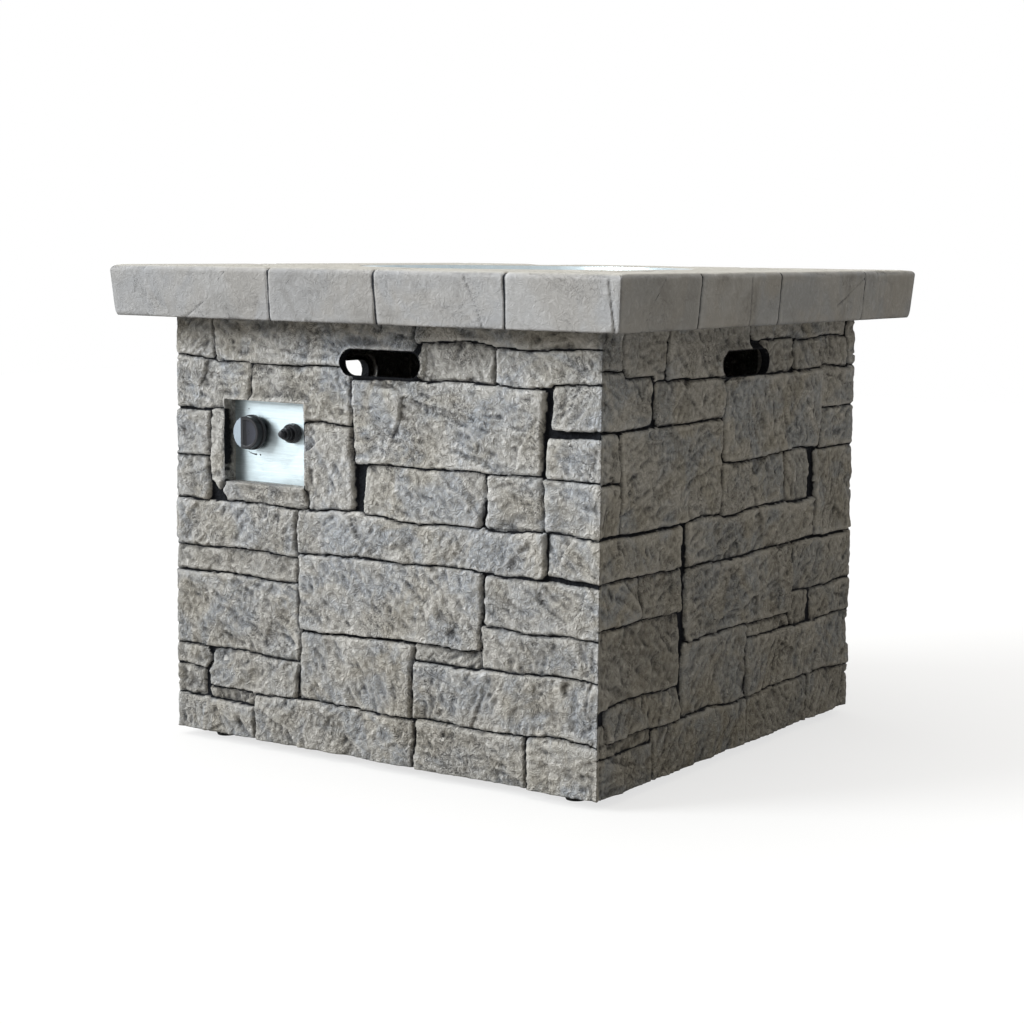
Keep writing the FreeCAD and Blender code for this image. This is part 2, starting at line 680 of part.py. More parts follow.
def feet():
    """Tapered rubber feet, each with a screw up into the ledge."""
    screws = []
    for number, (side, face) in enumerate(foot_spots(), start=1):
        spot = (signed(side, foot_x), signed(face, foot_y), "0")
        profile = [
            ("foot_screw_head_radius", "0"), ("foot_low_radius", "0"),
            ("foot_top_radius", "foot_height"), ("foot_screw_radius", "foot_height"),
            ("foot_screw_radius", "foot_well"), ("foot_screw_head_radius", "foot_well"),
        ]
        piece(turned("rubber_foot_%d" % number, profile, spot))
        screw = [
            ("0", "foot_well - foot_screw_head"),
            ("foot_screw_head_radius", "foot_well - foot_screw_head"),
            ("foot_screw_head_radius", "foot_well"), ("foot_screw_radius", "foot_well"),
            ("foot_screw_radius", "foot_height + foot_screw_bite"),
            ("0", "foot_height + foot_screw_bite"),
        ]
        screws.append(turned("foot_screw_%d" % number, screw, spot))
    piece(fused("foot_screws", screws))


def hinges():
    """Two butt hinges in the gap along the door's front edge, pins upright."""
    pin_x = "(0 - body_side / 2 - hinge_proud)"
    pin_y = "(0 - door_width / 2 - door_shift - hinge_gap / 2)"
    leaf_end = "(0 - body_side / 2 + hinge_leaf_deep)"
    third = "hinge_length / 3"
    screws = {"wall": [], "door": []}
    for name in ("low", "high"):
        base = hinge_bases[name]
        top = base + " + hinge_length"
        bore = cylinder("hinge_bore_" + name, "hinge_pin_radius + fit_gap",
                        "hinge_length + 2 * run_past", (pin_x, pin_y, base + " - run_past"))

        fixed_leaf = box("fixed_leaf_" + name, (pin_x, jamb_front_y, base),
                         (leaf_end, jamb_front_y + " + hinge_leaf", top))
        fixed_barrel = cylinder("fixed_barrel_" + name, "knuckle_radius", "hinge_length",
                                (pin_x, pin_y, base))
        fixed_notch = cylinder("fixed_notch_" + name, "knuckle_radius + hinge_barrel_gap",
                               third + " + 2 * hinge_barrel_gap",
                               (pin_x, pin_y, base + " + " + third + " - hinge_barrel_gap"))
        wall_hole = hinge_screw_hole("hinge_leaf_hole_wall_" + name, base, "wall")
        place_leaf_hole(wall_hole, "wall")
        fixed = fused("fixed_blank_" + name, [fixed_leaf, fixed_barrel])
        piece(cut("hinge_leaf_fixed_" + name, fixed, [fixed_notch, bore, wall_hole]))

        moving_leaf = box("moving_leaf_" + name, (pin_x, door_front_y + " - hinge_leaf", base),
                          (leaf_end, door_front_y, top))
        moving_barrel = cylinder("moving_barrel_" + name, "knuckle_radius", third,
                                 (pin_x, pin_y, base + " + " + third))
        notch_low = cylinder("moving_notch_low_" + name, "knuckle_radius + hinge_barrel_gap",
                             third + " + hinge_barrel_gap", (pin_x, pin_y, base))
        notch_high = cylinder("moving_notch_high_" + name,
                              "knuckle_radius + hinge_barrel_gap",
                              third + " + hinge_barrel_gap",
                              (pin_x, pin_y, base + " + 2 * " + third + " - hinge_barrel_gap"))
        door_hole = hinge_screw_hole("hinge_leaf_hole_door_" + name, base, "door")
        place_leaf_hole(door_hole, "door")
        leaf = cut("moving_leaf_cut_" + name, moving_leaf, [notch_low, notch_high])
        moving = fused("moving_blank_" + name, [leaf, moving_barrel])
        piece(cut("hinge_leaf_door_" + name, moving, [bore, door_hole]))

        profile = [
            ("0", "0"), ("hinge_pin_radius", "0"), ("hinge_pin_radius", "hinge_length"),
            ("hinge_pin_head_radius", "hinge_length"),
            ("hinge_pin_head_radius", "hinge_length + hinge_pin_head"),
            ("0", "hinge_length + hinge_pin_head"),
        ]
        piece(turned("hinge_pin_" + name, profile, (pin_x, pin_y, base)))

        for side in screws:
            label = "hinge_screw_%s_%s" % (side, name)
            screw = hinge_screw_hole(label, base, side)
            place_leaf_hole(screw, side)
            screws[side].append(screw)
    piece(fused("hinge_screws_wall", screws["wall"]))
    piece(fused("hinge_screws_door", screws["door"]))


def place_leaf_hole(item, side):
    """Starts a hinge screw at its leaf's open face, flush with it."""
    start = jamb_front_y + " + hinge_leaf" if side == "wall" else door_front_y + " - hinge_leaf"
    item.setExpression("Placement.Base.y", linked(start))
    item.setExpression("Height", linked("hinge_screw_bite + hinge_leaf"))


def door_catch():
    """A magnet block on the wall above the doorway and its strike on the door."""
    high_y = door_back_y + " - catch_inset"
    low_y = high_y + " - catch_wide"
    block_x = inside_x + " + catch_deep"
    head_z = door_high_z + " + door_gap"
    foot = box("catch_foot_block", (inside_x, low_y, head_z + " + catch_gap"),
               (block_x, high_y, head_z + " + catch_foot"))
    nose = box("catch_nose", (inside_x + " + strike_thick + catch_gap", low_y,
                              head_z + " - catch_drop"),
               (block_x, high_y, head_z + " + catch_gap"))
    piece(fused("magnet_catch", [foot, nose]))
    strike_y = low_y + " + (catch_wide - strike_wide) / 2"
    strike_z = head_z + " - catch_drop + strike_rise"
    piece(box("catch_strike", (inside_x, strike_y, strike_z),
              (inside_x + " + strike_thick", strike_y + " + strike_wide",
               strike_z + " + strike_tall")))


knob_x = plate_x + " + knob_inset"
knob_z = plate_z + " + knob_rise"
igniter_x = plate_x + " + igniter_inset"
igniter_z = plate_z + " + igniter_rise"


def control_plate():
    low_x = plate_x + " - plate_lap"
    low_z = plate_z + " - plate_lap"
    blank = padded("plate_blank", rectangle("panel_wide + 2 * plate_lap",
                                            "panel_tall + 2 * plate_lap"),
                   "plate_thick", (low_x, plate_back, low_z), "-y")
    holes = [
        cylinder("plate_stem_hole", "stem_radius + stem_hole_gap", "plate_thick",
                 (knob_x, plate_back, knob_z), "-y"),
        cylinder("plate_igniter_hole", "neck_radius", "plate_thick",
                 (igniter_x, plate_back, igniter_z), "-y"),
    ]
    holes += [
        cylinder("plate_corner_hole_%d" % number, "plate_screw_radius", "plate_thick",
                 (x, plate_back, z), "-y")
        for number, (x, z) in enumerate(plate_screw_spots(), start=1)
    ]
    holes += [valve_screw("valve_screw_hole_%d" % sign, sign) for sign in (1, 2)]
    piece(cut("control_plate", blank, holes))
    profile = [
        ("0", "0 - plate_screw_head"), ("plate_screw_head_radius", "0 - plate_screw_head"),
        ("plate_screw_head_radius", "0"), ("plate_screw_radius", "0"),
        ("plate_screw_radius", "plate_thick + plate_screw_bite"),
        ("0", "plate_thick + plate_screw_bite"),
    ]
    screws = [
        turned("plate_screw_%d" % number, profile, (x, plate_back, z), "-y")
        for number, (x, z) in enumerate(plate_screw_spots(), start=1)
    ]
    piece(fused("plate_screws", screws))


def valve_screw(label, number):
    """A countersunk screw through the plate into the valve, hidden by the knob."""
    offset = "+ valve_screw_offset" if number == 1 else "- valve_screw_offset"
    profile = [
        ("0", "0"), ("valve_screw_head_radius", "0"), ("valve_screw_radius", "plate_thick"),
        ("valve_screw_radius", "plate_thick + valve_screw_bite"),
        ("0", "plate_thick + valve_screw_bite"),
    ]
    return turned(label, profile, (knob_x, plate_front, knob_z + offset), "y")


valve_back = plate_back + " + valve_long"
spring_room = "(2 * knob_travel + spring_slack)"
plug_front = plate_back + " + valve_nose + collar_gap + stem_collar + " + spring_room


def valve():
    """The valve body, its turning plug and the stem that slides in the plug."""
    half = "valve_wide / 2"
    block = box("valve_block", (knob_x + " - " + half, plate_back, knob_z + " - " + half),
                (knob_x + " + " + half, valve_back, knob_z + " + " + half))
    outlet = cylinder("valve_outlet", "outlet_radius", "outlet_length",
                      (knob_x, plate_back + " + port_setback", knob_z + " + " + half))
    inlet = cylinder("valve_inlet", "inlet_boss_radius", "inlet_boss",
                     (knob_x, plate_back + " + inlet_setback", knob_z + " - " + half), "-z")
    magnet = cylinder("valve_magnet", "magnet_radius", "magnet_length",
                      (knob_x, valve_back, knob_z), "y")
    tail = cylinder("valve_magnet_tail", "magnet_tail_radius", "magnet_tail",
                    (knob_x, valve_back + " + magnet_length", knob_z), "y")
    blank = fused("valve_blank", [block, outlet, inlet, magnet, tail])
    bore = cylinder("plug_bore", "plug_radius + fit_gap",
                    spring_room + " + collar_gap + stem_collar + plug_length + fit_gap",
                    (knob_x, plate_back + " + valve_nose", knob_z), "y")
    stem_hole = cylinder("stem_hole", "stem_radius + fit_gap", "valve_nose + run_past",
                         (knob_x, plate_back, knob_z), "y")
    holes = [valve_screw("valve_body_hole_%d" % number, number) for number in (1, 2)]
    piece(cut("valve_body", blank, [bore, stem_hole] + holes))
    piece(fused("valve_screws", [valve_screw("valve_screw_%d" % sign, sign)
                                 for sign in (1, 2)]))

    plug = cylinder("plug_blank", "plug_radius", "plug_length",
                    (knob_x, plug_front, knob_z), "y")
    socket = flat_sided("plug_socket", "stem_radius + fit_gap", "stem_flat - fit_gap",
                        "stem_in_plug + knob_travel + run_past", plug_front)
    piece(cut("valve_plug", plug, [socket]))

    collar = cylinder("stem_collar_ring", "stem_collar_radius", "stem_collar",
                      (knob_x, plate_back + " + valve_nose + collar_gap", knob_z), "y")
    stem_front = plate_front + " - knob_gap - stem_in_knob"
    bar = flat_sided("stem_bar", "stem_radius", "stem_flat",
                     "(%s) - (%s) + stem_in_plug" % (plug_front, stem_front), stem_front)
    piece(fused("valve_stem", [bar, collar]))

    length = value(spring_room)
    start = Vector(value(knob_x), value(plug_front) - length, value(knob_z))
    piece(coil("valve_spring", value("valve_spring_radius"), value("valve_spring_wire"),
               value("valve_spring_turns"), length, start, axis_turns["y"]))


def flat_sided(label, radius, flat, length, start_y):
    """A round bar along +Y with one flat on top, so that it can't turn in its seat."""
    rod = cylinder(label + "_rod", radius, length, (knob_x, start_y, knob_z), "y")
    wide = knob_x + " - 2 * (%s)" % radius
    shave = box(label + "_shave",
                (wide, start_y + " - run_past", knob_z + " + stem_radius - (%s)" % flat),
                (knob_x + " + 2 * (%s)" % radius, start_y + " + (%s) + run_past" % length,
                 knob_z + " + 2 * (%s)" % radius))
    return cut(label, rod, [shave])


def control_knob():
    """A skirted round knob with a bright segment and a scooped grip beside it."""
    rear = plate_front + " - knob_gap"
    profile = [
        ("0", "0"), ("knob_radius - knob_edge", "0"), ("knob_radius", "knob_edge"),
        ("knob_radius", "knob_skirt - knob_skirt_edge"),
        ("knob_radius - knob_skirt_edge", "knob_skirt"),
        ("drum_radius", "knob_skirt"), ("drum_radius", "knob_skirt + drum_length - knob_edge"),
        ("drum_radius - knob_edge", "knob_skirt + drum_length"),
        ("0", "knob_skirt + drum_length"),
    ]
    blank = turned("knob_blank", profile, (knob_x, rear, knob_z), "-y")
    socket = flat_sided("knob_socket", "stem_radius", "stem_flat", "stem_in_knob",
                        plate_front + " - knob_gap - stem_in_knob")
    face_y = rear + " - knob_skirt - drum_length"
    chord_x = knob_x + " - knob_face_chord"
    seat = box("knob_face_seat", (knob_x + " - knob_radius", face_y + " - run_past",
                                  knob_z + " - knob_radius"),
               (chord_x, face_y + " + knob_face_thick", knob_z + " + knob_radius"))
    scoop = knob_scoop(value(chord_x), value(face_y))
    piece(cut("control_knob", blank, [socket, seat, scoop]))
    disc = cylinder("knob_face_disc", "drum_radius - knob_face_gap", "knob_face_thick",
                    (knob_x, face_y + " + knob_face_thick", knob_z), "-y")
    trim = box("knob_face_trim", (knob_x + " - knob_radius", face_y, knob_z + " - knob_radius"),
               (chord_x, face_y + " + knob_face_thick", knob_z + " + knob_radius"))
    piece(common("knob_face", disc, trim))


def knob_scoop(chord_x, face_y):
    """The wedge taken off the knob's front, deepest at its far rim."""
    reach = value("knob_radius")
    middle = value(knob_z)
    deep = value("knob_scoop")
    land = value("knob_land")
    front = face_y - value("run_past")
    far = chord_x + value("knob_face_chord") + reach
    outline = [
        Vector(chord_x + land, face_y, middle - reach),
        Vector(far, face_y + deep, middle - reach),
        Vector(far, front, middle - reach),
        Vector(chord_x + land, front, middle - reach),
    ]
    wedge = Part.Face(Part.makePolygon(outline + outline[:1]))
    return feature("knob_scoop_wedge", wedge.extrude(Vector(0, 0, 2 * reach)))


def igniter():
    """The push-button spark unit: barrel, battery, spring, ribbed collar, button."""
    neck_front = plate_front + " - collar_length + collar_lip"
    spot = (igniter_x, neck_front, igniter_z)
    neck_out = "(collar_length - collar_lip)"
    neck = neck_out + " + plate_thick"
    cell_front = "neck_bore + battery_wall"
    cell_back = cell_front + " + battery_length"
    profile = [
        ("neck_bore_radius", "0"), ("neck_radius", "0"), ("neck_radius", neck),
        ("igniter_radius", neck), ("igniter_radius", neck + " + igniter_length"),
        ("0", neck + " + igniter_length"), ("0", cell_back),
        ("battery_radius + battery_gap", cell_back),
        ("battery_radius + battery_gap", cell_front), ("0", cell_front),
        ("0", "neck_bore"), ("neck_bore_radius", "neck_bore"),
    ]
    piece(turned("igniter_body", profile, spot, "y"))
    piece(cylinder("igniter_battery", "battery_radius", "battery_length",
                   (igniter_x, neck_front + " + " + cell_front, igniter_z), "y"))
    second = "collar_radius - collar_step"
    third = "collar_radius - collar_step_last"
    start = "collar_rib_wide + 2 * collar_groove"
    later = start + " + collar_rib_short"
    ribs = [
        ("neck_radius", "0"), ("collar_radius", "0"), ("collar_radius", "collar_rib_wide"),
        ("collar_radius - collar_rib", "collar_rib_wide + collar_groove"),
        (second, start), (second, later),
        (second + " - collar_rib", later + " + collar_groove"),
        (third, later + " + 2 * collar_groove"),
        (third, later + " + 2 * collar_groove + collar_rib_short"),
        ("collar_radius - collar_chamfer", "collar_length"),
        ("button_radius + button_gap", "collar_length"),
        ("button_radius + button_gap", neck_out), ("neck_radius", neck_out),
    ]
    piece(turned("igniter_collar", ribs, (igniter_x, plate_front, igniter_z), "-y"))
    neck_end = "button_flange + collar_lip + button_travel"
    step_end = neck_end + " + button_step"
    button = [
        ("0", "0"), ("button_flange_radius", "0"), ("button_flange_radius", "button_flange"),
        ("button_radius", "button_flange"), ("button_radius", neck_end + " - button_edge"),
        ("button_radius - button_edge", neck_end), ("button_step_radius", neck_end),
        ("button_step_radius", step_end + " - button_step_edge"),
        ("button_step_radius - button_step_edge", step_end),
        ("button_tip_radius", step_end),
        ("button_tip_radius", step_end + " + button_tip * button_tip_straight"),
        ("button_tip_radius * 0.8", step_end + " + button_tip * button_tip_round"),
        ("button_tip_radius * 0.4", step_end + " + button_tip"),
        ("0", step_end + " + button_tip"),
    ]
    flange_rear = neck_front + " + button_flange + button_gap"
    piece(turned("igniter_button", button, (igniter_x, flange_rear, igniter_z), "-y"))
    room = value("neck_bore - button_flange - button_gap")
    start = Vector(value(igniter_x), value(flange_rear), value(igniter_z))
    piece(coil("igniter_spring", value("igniter_spring_radius"),
               value("igniter_spring_wire"), value("igniter_spring_turns"), room, start,
               axis_turns["y"]))


def gas_inlet():
    """The male fitting under the valve, where the regulator hose screws on."""
    top = knob_z + " - valve_wide / 2 - inlet_boss"
    profile = [
        ("inlet_bore", "0"), ("inlet_boss_radius", "0"),
        ("inlet_boss_radius", "inlet_shoulder"), ("inlet_radius", "inlet_shoulder"),
        ("inlet_radius", "inlet_shoulder + inlet_length"),
        ("inlet_bore + inlet_nose_wall", "inlet_shoulder + inlet_length + inlet_nose"),
        ("inlet_bore", "inlet_shoulder + inlet_length + inlet_nose"),
    ]
    piece(turned("gas_inlet", profile, (knob_x, plate_back + " + inlet_setback", top), "-z"))


bowl_floor = slab_top + " - flange_seat + sheet_metal - bowl_depth"
floor_top = bowl_floor + " + sheet_metal"
ring_z = floor_top + " + ring_rise"
sensor_spots = {"spark": "spark_angle", "probe": "probe_angle"}


def sensor_spot(name):
    angle = sensor_spots[name]
    return ("sensor_radius_out * cos(%s * 1deg)" % angle,
            "sensor_radius_out * sin(%s * 1deg)" % angle)


def fire_bowl():
    """The spun steel bowl, hung by its flange in the table top."""
    flange_top = slab_top + " - flange_seat + sheet_metal"
    wall = "sheet_metal"
    depth = "bowl_depth"
    profile = [
        ("0", "0"), ("bowl_floor_radius", "0"),
        ("bowl_radius", depth + " - " + wall), ("flange_radius", depth + " - " + wall),
        ("flange_radius", depth), ("bowl_radius - " + wall, depth),
        ("bowl_floor_radius - " + wall, wall), ("0", wall),
    ]
    blank = turned("bowl_blank", profile, ("0", "0", flange_top + " - " + depth))
    holes = [cylinder("bowl_feed_hole", "nipple_radius", "sheet_metal + 2 * run_past",
                      ("0", "0", bowl_floor + " - run_past"))]
    holes += [
        cylinder("bowl_hole_" + name, "insulator_radius" if name == "spark" else "probe_radius",
                 "sheet_metal + 2 * run_past", sensor_spot(name) + (bowl_floor + " - run_past",))
        for name in sensor_spots
    ]
    piece(cut("fire_bowl", blank, holes))


def burner():
    """The ring burner fed through its cross tube, its hub, nut, elbow and mixer."""
    ring = doc.addObject("Part::Torus", "ring_tube_round")
    ring.setExpression("Radius1", linked("ring_radius"))
    ring.setExpression("Radius2", linked("ring_tube"))
    place(ring, ("0", "0", ring_z))
    cross = cylinder("ring_cross", "cross_tube", "2 * (ring_radius - ring_tube / 2)",
                     ("0 - ring_radius + ring_tube / 2", "0", ring_z), "x")
    hub_space = cylinder("ring_hub_space", "hub_radius", "4 * ring_tube",
                         ("0", "0", ring_z + " - 2 * ring_tube"))
    drills = [ring_port(number) for number in range(int(value("port_count")))]
    blank = fused("ring_blank", [ring, cross])
    piece(cut("burner_ring", blank, [hub_space] + drills))

    top = ring_z + " + ring_tube"
    profile = [
        ("0", "0 - sheet_metal - nipple_drop"), ("nipple_radius", "0 - sheet_metal - nipple_drop"),
        ("nipple_radius", "0"), ("hub_flange_radius", "0"),
        ("hub_flange_radius", "hub_flange"), ("hub_radius", "hub_flange"),
        ("hub_radius", "(%s) - (%s)" % (top, floor_top)),
        ("0", "(%s) - (%s)" % (top, floor_top)),
    ]
    piece(turned("burner_hub", profile, ("0", "0", floor_top)))

    nut = doc.addObject("Part::Prism", "nut_blank")
    nut.Polygon = 6
    nut.setExpression("Circumradius", linked("nut_radius"))
    nut.setExpression("Height", linked("nut_height"))
    place(nut, ("0", "0", bowl_floor + " - nut_height"))
    nut_bore = cylinder("nut_bore", "nipple_radius", "nut_height",
                        ("0", "0", bowl_floor + " - nut_height"))
    piece(cut("jam_nut", nut, [nut_bore]))


def ring_port(number):
    """One gas port, drilled into the top of the ring to its middle."""
    angle = 360.0 * (number + 0.5) / value("port_count")
    across = "ring_radius * cos(%.3f deg)" % angle
    along = "ring_radius * sin(%.3f deg)" % angle
    return cylinder("ring_port_%d" % number, "port_radius", "2 * ring_tube",
                    (across, along, ring_z))


elbow_top = bowl_floor + " - nut_height"
elbow_z = elbow_top + " - elbow_drop"
mixer_back = "0 - elbow_leg + mixer_seat - mixer_length"


def mixer():
    """The feed elbow, the air mixer with its two air slots, and the orifice."""
    upright = cylinder("elbow_upright", "elbow_radius", "elbow_drop", ("0", "0", elbow_z))
    turn = doc.addObject("Part::Sphere", "elbow_turn")
    turn.setExpression("Radius", linked("elbow_radius"))
    place(turn, ("0", "0", elbow_z))
    leg = cylinder("elbow_leg_round", "elbow_radius", "elbow_leg", ("0", "0", elbow_z), "-y")
    blank = fused("elbow_blank", [upright, turn, leg])
    nipple = cylinder("elbow_nipple_room", "nipple_radius",
                      "nipple_drop - nut_height", ("0", "0", bowl_floor + " - nipple_drop"))
    seat = cylinder("elbow_mixer_room", "mixer_radius", "mixer_seat + run_past",
                    ("0", "0 - elbow_leg + mixer_seat", elbow_z), "-y")
    piece(cut("feed_elbow", blank, [nipple, seat]))

    tube = cylinder("mixer_tube", "mixer_radius", "mixer_length", ("0", mixer_back, elbow_z), "y")
    bore = cylinder("mixer_bore", "mixer_radius - mixer_wall", "mixer_length",
                    ("0", mixer_back + " + 2 * mixer_wall", elbow_z), "y")
    nose = cylinder("mixer_nose_hole", "orifice_nose_radius", "3 * mixer_wall",
                    ("0", mixer_back + " - run_past", elbow_z), "y")
    slots = box("air_slots", ("0 - 2 * mixer_radius", mixer_back + " + air_slot_setback",
                              elbow_z + " - air_slot_tall / 2"),
                ("2 * mixer_radius", mixer_back + " + air_slot_setback + air_slot_long",
                 elbow_z + " + air_slot_tall / 2"))
    piece(cut("air_mixer", tube, [bore, nose, slots]))

    profile = [
        ("0", "0"), ("orifice_tail_radius", "0"), ("orifice_tail_radius", "orifice_tail"),
        ("orifice_flange_radius", "orifice_tail"),
        ("orifice_flange_radius", "orifice_tail + orifice_flange"),
        ("orifice_nose_radius", "orifice_tail + orifice_flange"),
        ("orifice_nose_radius", "orifice_tail + orifice_flange + 2 * mixer_wall"),
        ("orifice_jet", "orifice_tail + orifice_flange + 2 * mixer_wall"),
        ("orifice_jet", "orifice_tail + orifice_flange - orifice_jet_deep"),
        ("0", "orifice_tail + orifice_flange - orifice_jet_deep"),
    ]
    start = mixer_back + " - orifice_flange - orifice_tail"
    piece(turned("orifice_fitting", profile, ("0", start, elbow_z), "y"))


def tube_and_leads():
    """The gas tube and the two leads, held at both ends inside the base."""
    x = value(knob_x)
    y = value(plate_back + " + port_setback")
    high = value(elbow_z)
    outlet = value(knob_z + " + valve_wide / 2 + outlet_length")
    tail = value(mixer_back + " - orifice_flange - orifice_tail")
    piece(routed_tube("gas_tube", value("tube_radius"), value("tube_bend"), [
        Vector(0, tail, high), Vector(0, y, high), Vector(x, y, high), Vector(x, y, outlet),
    ]))
    rear = value(plate_front + " + plate_thick + igniter_length")
    level = value(bowl_floor + " - lead_drop")
    out = value("lead_run_out")
    hang = value(bowl_floor + " - sensor_hang")
    spark = [value(text) for text in sensor_spot("spark")]
    spark_x = value(igniter_x)
    piece(routed_tube("ignition_lead", value("lead_radius"), value("lead_bend"), [
        Vector(spark_x, rear, value(igniter_z)),
        Vector(spark_x, rear + out, value(igniter_z)),
        Vector(spark_x, rear + out, level),
        Vector(spark[0], spark[1], level),
        Vector(spark[0], spark[1], hang),
    ]))
    magnet = value(valve_back + " + magnet_length + magnet_tail")
    probe = [value(text) for text in sensor_spot("probe")]
    higher = level + value("lead_step")
    piece(routed_tube("thermocouple_lead", value("lead_radius"), value("lead_bend"), [
        Vector(x, magnet, value(knob_z)),
        Vector(x, magnet + out, value(knob_z)),
        Vector(x, magnet + out, higher),
        Vector(probe[0], probe[1], higher),
        Vector(probe[0], probe[1], hang),
    ]))


def sensors():
    """The spark electrode and flame probe, held by a clip on the bowl floor."""
    reach = "(%s) - (%s) + sensor_hang" % (ring_z + " + ring_tube", bowl_floor)
    spark = sensor_spot("spark")
    probe = sensor_spot("probe")
    base = bowl_floor + " - sensor_hang"
    sleeve = [
        ("spark_rod_radius", "0"), ("insulator_radius", "0"),
        ("insulator_radius", reach + " - sensor_top_gap"),
        ("spark_rod_radius", reach + " - sensor_top_gap"),
    ]
    piece(turned("spark_insulator", sleeve, spark + (base,)))
    piece(cylinder("spark_rod", "spark_rod_radius", reach, spark + (base,)))
    piece(cylinder("flame_probe", "probe_radius", reach, probe + (base,)))
    low = value(floor_top)
    rise = value("clip_rise")
    thick = value("clip_thick")
    wide = value("clip_wide")
    long = value("clip_long")
    shelf = Part.makeBox(wide, long, thick, Vector(-wide / 2, -long / 2, rise))
    leg = Part.makeBox(thick, long, rise, Vector(-wide / 2, -long / 2, 0))
    clip = shelf.fuse(leg)
    middle = value("(spark_angle + probe_angle) / 2")
    out = value("sensor_radius_out * cos((spark_angle - probe_angle) / 2 * 1deg)")
    clip.rotate(Vector(), Vector(0, 0, 1), middle)
    radians = math.radians(middle)
    clip.translate(Vector(out * math.cos(radians), out * math.sin(radians), low))
    blank = feature("clip_blank", clip.removeSplitter())
    through = "clip_rise + clip_thick + run_past"
    holes = [
        cylinder("clip_hole_spark", "insulator_radius", through, spark + (floor_top,)),
        cylinder("clip_hole_probe", "probe_radius", through, probe + (floor_top,)),
    ]
    piece(cut("sensor_clip", blank, holes))


def heat_shield():
    low = bowl_floor + " - shield_drop - shield_thick"
    piece(cylinder("heat_shield", "shield_radius", "shield_thick", ("0", "0", low)))
    spacers = [
        cylinder("spacer_%d" % number, "spacer_radius", "shield_drop",
                 (signed(side, "spacer_out"), signed(face, "spacer_out"),
                  bowl_floor + " - shield_drop"))
        for number, (side, face) in enumerate(foot_spots(), start=1)
    ]
    piece(fused("shield_spacers", spacers))


def rock(seed, middle, base, radius, height):
    """A rough lump with a flat foot and a flat crown, five or six sided."""
    sides = 6
    tiers = ((0.6, 0.0), (1.05, 0.38), (0.95, 0.72), (0.5, 1.0))
    rings = []
    for tier, (share, rise) in enumerate(tiers):
        ring = []
        for side in range(sides):
            wobble = math.sin(seed * 12.9 + side * 4.1 + tier * 7.7)
            angle = 2 * math.pi * (side + 0.5 * (tier % 2)) / sides + seed
            reach = radius * (share - 0.06 + 0.06 * wobble)
            spot = Vector(reach * math.cos(angle), reach * math.sin(angle), height * rise)
            ring.append(middle + spot + Vector(0, 0, base))
        rings.append(ring)
    faces = [Part.Face(Part.makePolygon(ring + ring[:1])) for ring in (rings[0], rings[-1])]
    for tier in range(len(tiers) - 1):
        low, high = rings[tier], rings[tier + 1]
        for side in range(sides):
            after = (side + 1) % sides
            if tier % 2 == 0:
                triples = ((low[side], low[after], high[side]),
                           (low[after], high[after], high[side]))
            else:
                triples = ((low[side], low[after], high[after]),
                           (low[side], high[after], high[side]))
            for triple in triples:
                faces.append(Part.Face(Part.makePolygon(list(triple) + [triple[0]])))
    return Part.Solid(Part.Shell(faces))


def lava_rocks():
    """Two layers of rock: the lower on the bowl floor, the upper on it and the ring."""
    radius = value("rock_radius")
    floor = value(floor_top)
    crest = value(ring_z + " + ring_tube")
    gap = value("rock_gap")
    lower_height = crest - floor
    room = value(slab_top) - crest
    inner = value("hub_radius + rock_hub_gap") + radius
    outer = value("bowl_floor_radius - sheet_metal - rock_wall_gap") - radius
    low_share = value("rock_low_share")
    swing = value("rock_tall_swing")
    circles = (
        (0.0, 1), (inner, 6), (2 * inner + value("rock_row_gap"), 12),
        (value("ring_radius"), 18), (outer, 25),
    )
    lower = []
    upper = []
    seed = 0
    for number, (reach, count) in enumerate(circles):
        for step in range(count):
            seed += 1
            angle = 2 * math.pi * step / count
            spot = Vector(reach * math.cos(angle), reach * math.sin(angle), 0)
            height = room * (low_share + swing * math.sin(seed * 2.4))
            upper.append(rock(seed, spot, crest + gap, radius, height))
            over_hub = number == 0
            over_ring = number == 3
            over_cross = number in (1, 2) and abs(spot.y) < radius
            if not (over_hub or over_ring or over_cross):
                lower.append(rock(seed + 0.5, spot, floor, radius, lower_height))
    piece(feature("lava_rocks_lower", Part.makeCompound(lower)))
    piece(feature("lava_rocks_upper", Part.makeCompound(upper)))


def cylinder_tray():
    """The steel tray on the ledge and the ring that keeps a gas cylinder in place."""
    half = "tray_side / 2"
    plate = square_block("tray_plate", half, ledge_top, ledge_top + " + tray_thick")
    vents = [
        cylinder("tray_vent_%d" % number, "tray_vent_radius", "tray_thick + 2 * run_past",
                 (signed(side, "tray_vent_out"), signed(face, "tray_vent_out"),
                  ledge_top + " - run_past"))
        for number, (side, face) in enumerate(foot_spots(), start=1)
    ]
    vents.append(hose_hole("tray_hose_hole"))
    piece(cut("cylinder_tray", plate, vents))
    spot = ("0 - cylinder_shift_x", "0 - cylinder_shift_y", ledge_top + " + tray_thick")
    outer = cylinder("tray_ring_round", "tray_ring_radius + tray_ring_wall",
                     "tray_ring_height", spot)
    inner = cylinder("tray_ring_bore", "tray_ring_radius", "tray_ring_height",
                     spot[:2] + (spot[2] + " + tray_ring_floor",))
    piece(cut("cylinder_ring", outer, [inner]))


stone_walls()
table_top()
top_brackets()
feet()
hinges()
door_catch()
control_plate()
valve()
control_knob()
igniter()
gas_inlet()
fire_bowl()
burner()
mixer()
tube_and_leads()
sensors()
heat_shield()
lava_rocks()
cylinder_tray()
doc.recompute()

